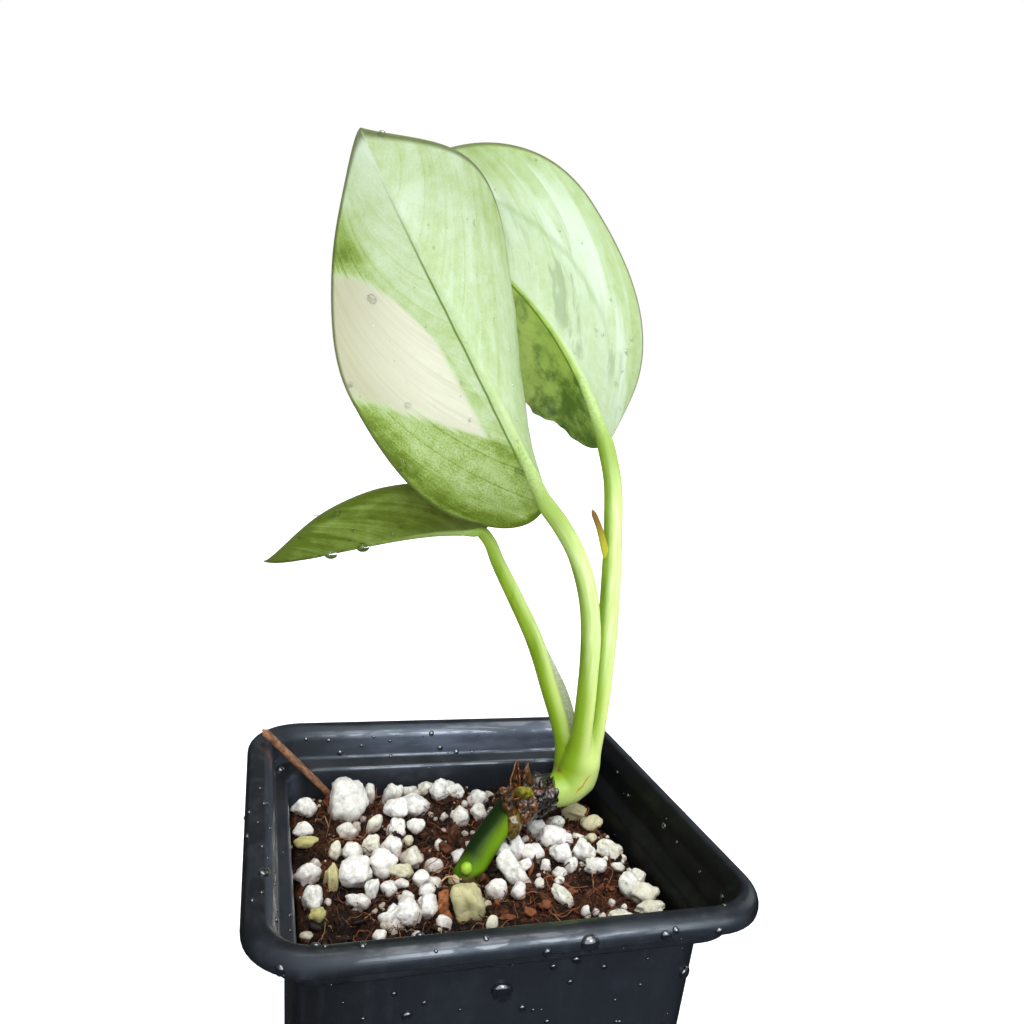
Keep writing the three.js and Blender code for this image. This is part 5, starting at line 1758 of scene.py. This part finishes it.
def fresh_shader(place, colour, height, rough):
    return Wire.node(place.tree, "BsdfPrincipled", {}, {
        "Base Color": colour, "Roughness": rough, "Normal": relief(height, 0.1, 0.7),
        "Specular IOR Level": 0.3, "Subsurface Weight": 0.12, "Subsurface Radius": (1.0, 1.0, 0.5),
        "Subsurface Scale": 0.0012})


def petiole_surface(shade, contrast):
    def surface(tree):
        place = millimetres(tree)
        x, y, z = axes(place)
        beyond, angle, kind = axes(attribute(tree, "stalk", "Vector"))
        round_it = joined(angle.math("COSINE", angle) * 1.7, angle.math("SINE", angle) * 1.7, beyond * 0.07)
        colour, height, rough = fresh_skin(place, cloud(round_it, 0.5, 3, 0.6), shade, contrast)
        grain = cloud(place, 0.5, 3, 0.6)
        colour = blend(beyond.rise(-14, -2) * 0.75, colour, paint(124, 150, 44))
        vein = blend(grain.rise(0.3, 0.7), paint(148, 174, 90), paint(172, 192, 128))
        colour = blend(beyond.rise(-1, 7) * kind.rise(0.5, 0.1), colour, vein)
        dry = blend(grain.rise(0.4, 0.6), paint(166, 172, 140), paint(186, 190, 164))
        dry = blend(z.rise(94.5, 97), dry, paint(122, 84, 44))
        thorn = blend(z.rise(113, 121), paint(178, 176, 44), paint(120, 84, 40))
        return fresh_shader(place, blend(kind.rise(0.4, 0.9), colour, blend(z.rise(104, 106), dry, thorn)),
                            height, rough)

    return surface


def shoot_surface(tree):
    place = millimetres(tree)
    x, y, z = axes(place)
    colour, height, rough = fresh_skin(place, cloud(stretched(place, 1, 1, 0.1), 0.5, 3, 0.6))
    blot = cloud(place, 1.2, 4, 0.65)
    line = abs(z - 69.3 - 1.2 * (x - 22.8) - (blot - 0.5) * 2).rise(0.5, 0.1) * x.rise(21.6, 22.4) * z.rise(72, 71)
    colour = blend(line * y.rise(10, 9) * 0.85, colour, paint(176, 110, 26))
    scar = (abs(x - 19.3) + abs(z - 71.7) + (blot - 0.5) * 3.5).rise(0.9, 0.2) * y.rise(14, 11)
    colour = blend(scar * 0.8, colour, paint(134, 66, 34))
    return fresh_shader(place, colour, height, rough)


def stem_surface(tree):
    place = millimetres(tree)
    x, y, z = axes(place)
    kind = attribute(tree, "kind")
    facing = Wire.node(tree, "NewGeometry", out="Normal")
    nx, ny, nz = axes(facing)
    along = x * 0.62 + y * 0.62 + z * 0.48
    stripe = cloud(joined(along * 0.12, (x - y) * 0.7, z - 0.5 * (x + y)), 0.5, 3, 0.6)
    blot = cloud(place, 1.7, 4, 0.6)
    # Painted light and shade: the stem is dark green where its skin faces up and left, and bright green where it faces
    # right, front and down.
    stem_painted_light = (nx * 0.85 - ny * 0.35 - nz * 0.4 + 0.25 * (stripe - 0.5) + 0.2 * (blot - 0.5)).rise(-0.45, 0.8)
    colour = blend(stem_painted_light, paint(15, 34, 2), paint(104, 140, 18))
    foot = (x + y).rise(-2.5, -6.5)
    colour = blend(foot * 0.4, colour, paint(104, 150, 16))
    colour = blend(kind.rise(0.3, 0.7), colour, blend(blot.rise(0.4, 0.6), paint(122, 160, 34), paint(160, 192, 66)))
    colour = blend(x.rise(7.5, 10.5) * 0.6, colour, paint(92, 84, 24))
    earth = z.rise(62.0, 60.9) * kind.rise(0.7, 0.3)
    colour = blend(earth, colour, blend(blot.rise(0.4, 0.6), paint(26, 17, 7), paint(70, 58, 22)))
    cut = blend(blot.rise(0.38, 0.6), paint(66, 56, 14), paint(138, 130, 38))
    colour = blend(kind.rise(1.4, 1.6), colour, cut)
    return Wire.node(tree, "BsdfPrincipled", {}, {
        "Base Color": colour, "Roughness": 0.5 + 0.2 * (blot - 0.5),
        "Normal": relief(0.7 * stripe + 0.3 * blot, 0.08, 0.6), "Specular IOR Level": 0.1})


def husk_surface(tree):
    place = millimetres(tree)
    x, y, z = axes(place)
    grain = cloud(stretched(place, 1, 1, 0.35), 0.35, 4, 0.65)
    blot = cloud(place, 1.3, 4, 0.65)
    # Painted shade: the husk is made darker to the right, where its crumpled flaps shade one another.
    painted_shade_right = 0.12 * x.rise(12, 15)
    colour = blend((blot - painted_shade_right).rise(0.42, 0.6), paint(10, 6, 3), paint(106, 62, 24))
    colour = blend((grain - painted_shade_right).rise(0.58, 0.7) * 0.8, colour, paint(184, 128, 66))
    colour = blend(z.rise(71.5, 75.5) * 0.4, colour, paint(124, 76, 42))
    return Wire.node(tree, "BsdfPrincipled", {}, {
        "Base Color": colour, "Roughness": 0.24 + 0.3 * (grain - 0.3),
        "Normal": relief(0.6 * grain + 0.4 * blot, 0.3, 0.9), "Specular IOR Level": 0.3,
        "Coat Weight": 0.8, "Coat Roughness": 0.05})


def root_surface(tree):
    place = millimetres(tree)
    blot = cloud(place, 0.9, 4, 0.65)
    colour = blend(blot.rise(0.38, 0.62), paint(46, 34, 8), paint(112, 88, 30))
    return Wire.node(tree, "BsdfPrincipled", {}, {
        "Base Color": colour, "Roughness": 0.3, "Normal": relief(blot, 0.15, 0.7), "Coat Weight": 0.8,
        "Coat Roughness": 0.12})


def stalk_surface(tree):
    place = millimetres(tree)
    grain = cloud(stretched(place, 0.3, 1, 0.3), 0.35, 3, 0.6)
    blot = cloud(place, 2.5, 3, 0.6)
    colour = blend(grain.rise(0.35, 0.65), paint(92, 56, 34), paint(150, 104, 68))
    colour = blend(blot.rise(0.45, 0.7), colour, paint(106, 70, 46))
    return Wire.node(tree, "BsdfPrincipled", {}, {
        "Base Color": colour, "Roughness": 0.62, "Normal": relief(grain, 0.2, 0.9)})


# How much painted shade each stalk gets against the shoot, less than none meaning painted light, and how strongly its
# painted lit and shaded sides differ
PETIOLE_LOOKS = {"front": (-0.42, 0.95), "back": (-0.6, 1.35), "low": (0.36, 1.1)}
for name, made in petioles.items():
    surface = finish(f"petiole_{name}_green", petiole_surface(*PETIOLE_LOOKS[name]))
    settle(made, surface, "petiole", f"petiole_{name}")
settle(shoot_base, finish("shoot_green", shoot_surface), "petiole", "shoot_base")
settle(old_stem, finish("old_stem_green", stem_surface), "old_stem", "old_stem")
settle(root_stump, finish("root_stump_brown", root_surface), "dry_husk")
settle(husk, finish("husk_brown", husk_surface), "dry_husk", "dry_husk")
settle(stalk, finish("stalk_brown", stalk_surface), "dry_stalk", "dry_stalk")


# %% [markdown]
# The plant has just been watered. A small drop on plastic or on a waxy leaf is a low dome, drawn
# tight by its own skin; a big one at an edge hangs. Where the photograph shows a drop, a ray is cast
# through it on to the piece, and the dome is set on the surface that the ray meets. Real water only
# bends light, so the drops on the leaves have only a smooth clear body. A drop on the pot touches the
# plastic with no air between, so all that shows of it is black plastic with a mirror-smooth skin.

# %% Water drops
DROPS_ON_POT = [
    (394, 994, 3.4), (424, 1003, 3), (553, 967, 4), (570, 982, 3.2), (604, 967, 3.4), (363, 1019, 2.8),
    (502, 991, 12), (684, 972, 8), (460, 1010, 2), (331, 985, 2.4), (343, 1003, 2), (640, 985, 2.4),
    (533, 1010, 2.2), (615, 1000, 2), (280, 970, 6.5), (363, 945, 4.5), (547, 953, 5.5), (590, 943, 10),
    (666, 936, 6.5), (676, 930, 4), (719, 931, 4.5), (436, 951, 2.4), (486, 938, 3.6), (325, 946, 3), (264, 872, 7),
    (266, 803, 4.5), (281, 769, 5), (262, 846, 2.6), (270, 828, 2.2), (258, 822, 2), (268, 858, 2),
    (260, 788, 2), (275, 884, 2), (262, 892, 2.4), (290, 930, 2.2), (252, 900, 3), (247, 836, 3.4), (249, 812, 2.6),
    (340, 753, 3), (440, 748, 3), (390, 741, 2), (472, 752, 2), (306, 739, 2.2), (700, 872, 2.2), (724, 905, 2.6),
]
DROPS_ON_LEAVES = {
    "front": [(372, 299, 5.5), (402, 466, 6.5), (519, 471, 5), (434, 247, 2.2), (474, 223, 3), (350, 385, 3),
              (509, 350, 2.2), (516, 420, 3), (495, 300, 2), (364, 215, 2), (470, 420, 2.2), (382, 134, 4),
              (513, 385, 2.6), (461, 383, 2), (430, 500, 2.4), (455, 470, 2), (517, 440, 2.4)],
    "back": [(626, 352, 3.4), (622, 370, 3.2), (616, 384, 3), (620, 408, 3), (596, 330, 2.4), (574, 352, 2.2),
             (560, 230, 2), (603, 335, 2.6), (536, 160, 2), (632, 340, 2.4), (611, 300, 2)],
    "low": [(317, 518, 4), (337, 513, 4.5), (332, 516, 3), (402, 526, 3), (393, 535, 2.6), (352, 530, 2),
            (300, 538, 2.2), (440, 508, 2)],
}
HANGING_DROPS = [("low", 363, 543, 6.5, 4.5), ("low", 331, 551, 6.5, 3.5), ("back", 548, 407, 9.5, 3)]


def looked_at(piece, x, y):
    """Where the camera's ray through a place in the photograph meets a piece, and the normal there."""
    middle = PHOTO_SIDE / 2
    ray = ahead + rightward * ((x - middle) / FOCAL_PIXELS) - upward * ((y - middle) / FOCAL_PIXELS)
    return cast_on(piece, Vector(EYE), ray)


def cast_on(piece, start, ray):
    hit, place, normal, _ = piece.ray_cast(start * MM, ray.normalized())
    return (np.array(place) / MM, np.array(normal)) if hit else (None, None)


def dome(place, normal, radius, rng, height=None):
    """A drop's skin on a surface: a flattened ball, half sunk, a little out of round."""
    height = height or rng.uniform(0.5, 0.62)
    points, faces = BALLS[3 if radius > 0.42 else 2]
    wobble = 1 + 0.07 * np.sin(2 * np.arctan2(points[:, 1], points[:, 0]) + rng.uniform(0, 6))
    points = points * np.stack([wobble, wobble, np.full(len(points), height)], 1) * radius
    turn = Vector(normal).to_track_quat("Z", "Y").to_matrix()
    return points @ np.array(turn).T + place + np.array(normal) * radius * 0.08, faces


drop_rng = np.random.default_rng(23)
bpy.context.view_layer.update()
drop_parts, leaf_drop_parts = [], []
targets = [(pot, drops) for drops in (DROPS_ON_POT,)] + [
    (blades[name], drops) for name, drops in DROPS_ON_LEAVES.items()]
for piece, drops in targets:
    for x, y, size in drops:
        place, normal = looked_at(piece, x, y)
        if place is not None:
            scale = (place - np.array(EYE)) @ np.array(ahead) / FOCAL_PIXELS
            (drop_parts if piece is pot else leaf_drop_parts).append(
                dome(place, normal, size * scale * 0.92, drop_rng))
for name, x, y, size, lower in HANGING_DROPS:
    place, normal = looked_at(blades[name], x, y)
    if place is not None:
        scale = (place - np.array(EYE)) @ np.array(ahead) / FOCAL_PIXELS
        points, faces = BALLS[4]
        narrowing = 1 - 0.22 * np.clip(points[:, 2], 0, 1)
        points = points * np.stack([narrowing, narrowing * 0.7, np.full(len(points), 0.72)], 1)
        leaf_drop_parts.append((points * size * scale + place - np.array([0, 0, lower * scale]), faces))
print(f"{len(drop_parts) + len(leaf_drop_parts)} drops as photographed")

SPRAY_ON_POT = 150
SPRAY_ON_LEAVES = 60
for k in range(SPRAY_ON_POT):
    bearing = drop_rng.uniform(0, 2 * math.pi)
    away = Vector((math.cos(bearing), math.sin(bearing), 0))
    inward = drop_rng.random() < 0.35
    height = drop_rng.uniform(POT_HEIGHT - 34, POT_HEIGHT - 1)
    if inward:
        start = Vector((0, 0, POT_HEIGHT + 14)) - away * 20
        ray = away * 50 + Vector((0, 0, -drop_rng.uniform(10, 26)))
    else:
        start, ray = away * 90 + Vector((0, 0, height + 12)), -away * 60 - Vector((0, 0, 12))
    place, normal = cast_on(pot, start, ray)
    if place is not None:
        drop_parts.append(dome(place, normal, 0.16 + 0.55 * drop_rng.random() ** 3, drop_rng))
for k in range(SPRAY_ON_LEAVES):
    name = ("front", "back", "low")[k % 3]
    size = SURFACES[name]
    side = 1 if drop_rng.random() < 0.5 else -1
    along = drop_rng.uniform(0.1, 0.9) * size.length
    out = side * drop_rng.uniform(0.15, 0.7) * size.leaf["right" if side > 0 else "left"]["width"]
    spot = size.at(np.array([along]), np.array([abs(out)]), side)[0]
    _, _, upper, _ = size.frame(np.array([along]))
    facing = 1 if drop_rng.random() < 0.6 else -1
    place, normal = cast_on(blades[name], Vector(spot + upper[0] * facing * 6), Vector(-upper[0] * facing))
    if place is not None:
        leaf_drop_parts.append(dome(place, normal, 0.14 + 0.4 * drop_rng.random() ** 3, drop_rng))
pot_drops = add_mesh("pot_drops", *gathered(drop_parts))
leaf_drops = add_mesh("leaf_drops", *gathered(leaf_drop_parts))


def water_surface(tree):
    ripple = cloud(millimetres(tree), 1.5, 2, 0.5)
    return Wire.node(tree, "BsdfPrincipled", {}, {
        "Base Color": blend(ripple, (0.97, 0.99, 1, 1), (1, 1, 1, 1)), "Roughness": ripple * 0.04,
        "IOR": 1.33, "Transmission Weight": 1.0, "Specular IOR Level": 0.5})


def wet_black(tree):
    ripple = cloud(millimetres(tree), 1.5, 2, 0.5)
    return Wire.node(tree, "BsdfPrincipled", {}, {
        "Base Color": blend(ripple, paint(12, 14, 18), paint(24, 27, 33)), "Roughness": 0.02 + ripple * 0.04,
        "IOR": 1.8, "Specular IOR Level": 0.5, "Coat Weight": ripple * 0.2 + 0.8, "Coat Roughness": 0.02})


settle(leaf_drops, finish("water_clear", water_surface), "water")
settle(pot_drops, finish("water_on_black", wet_black), "water")
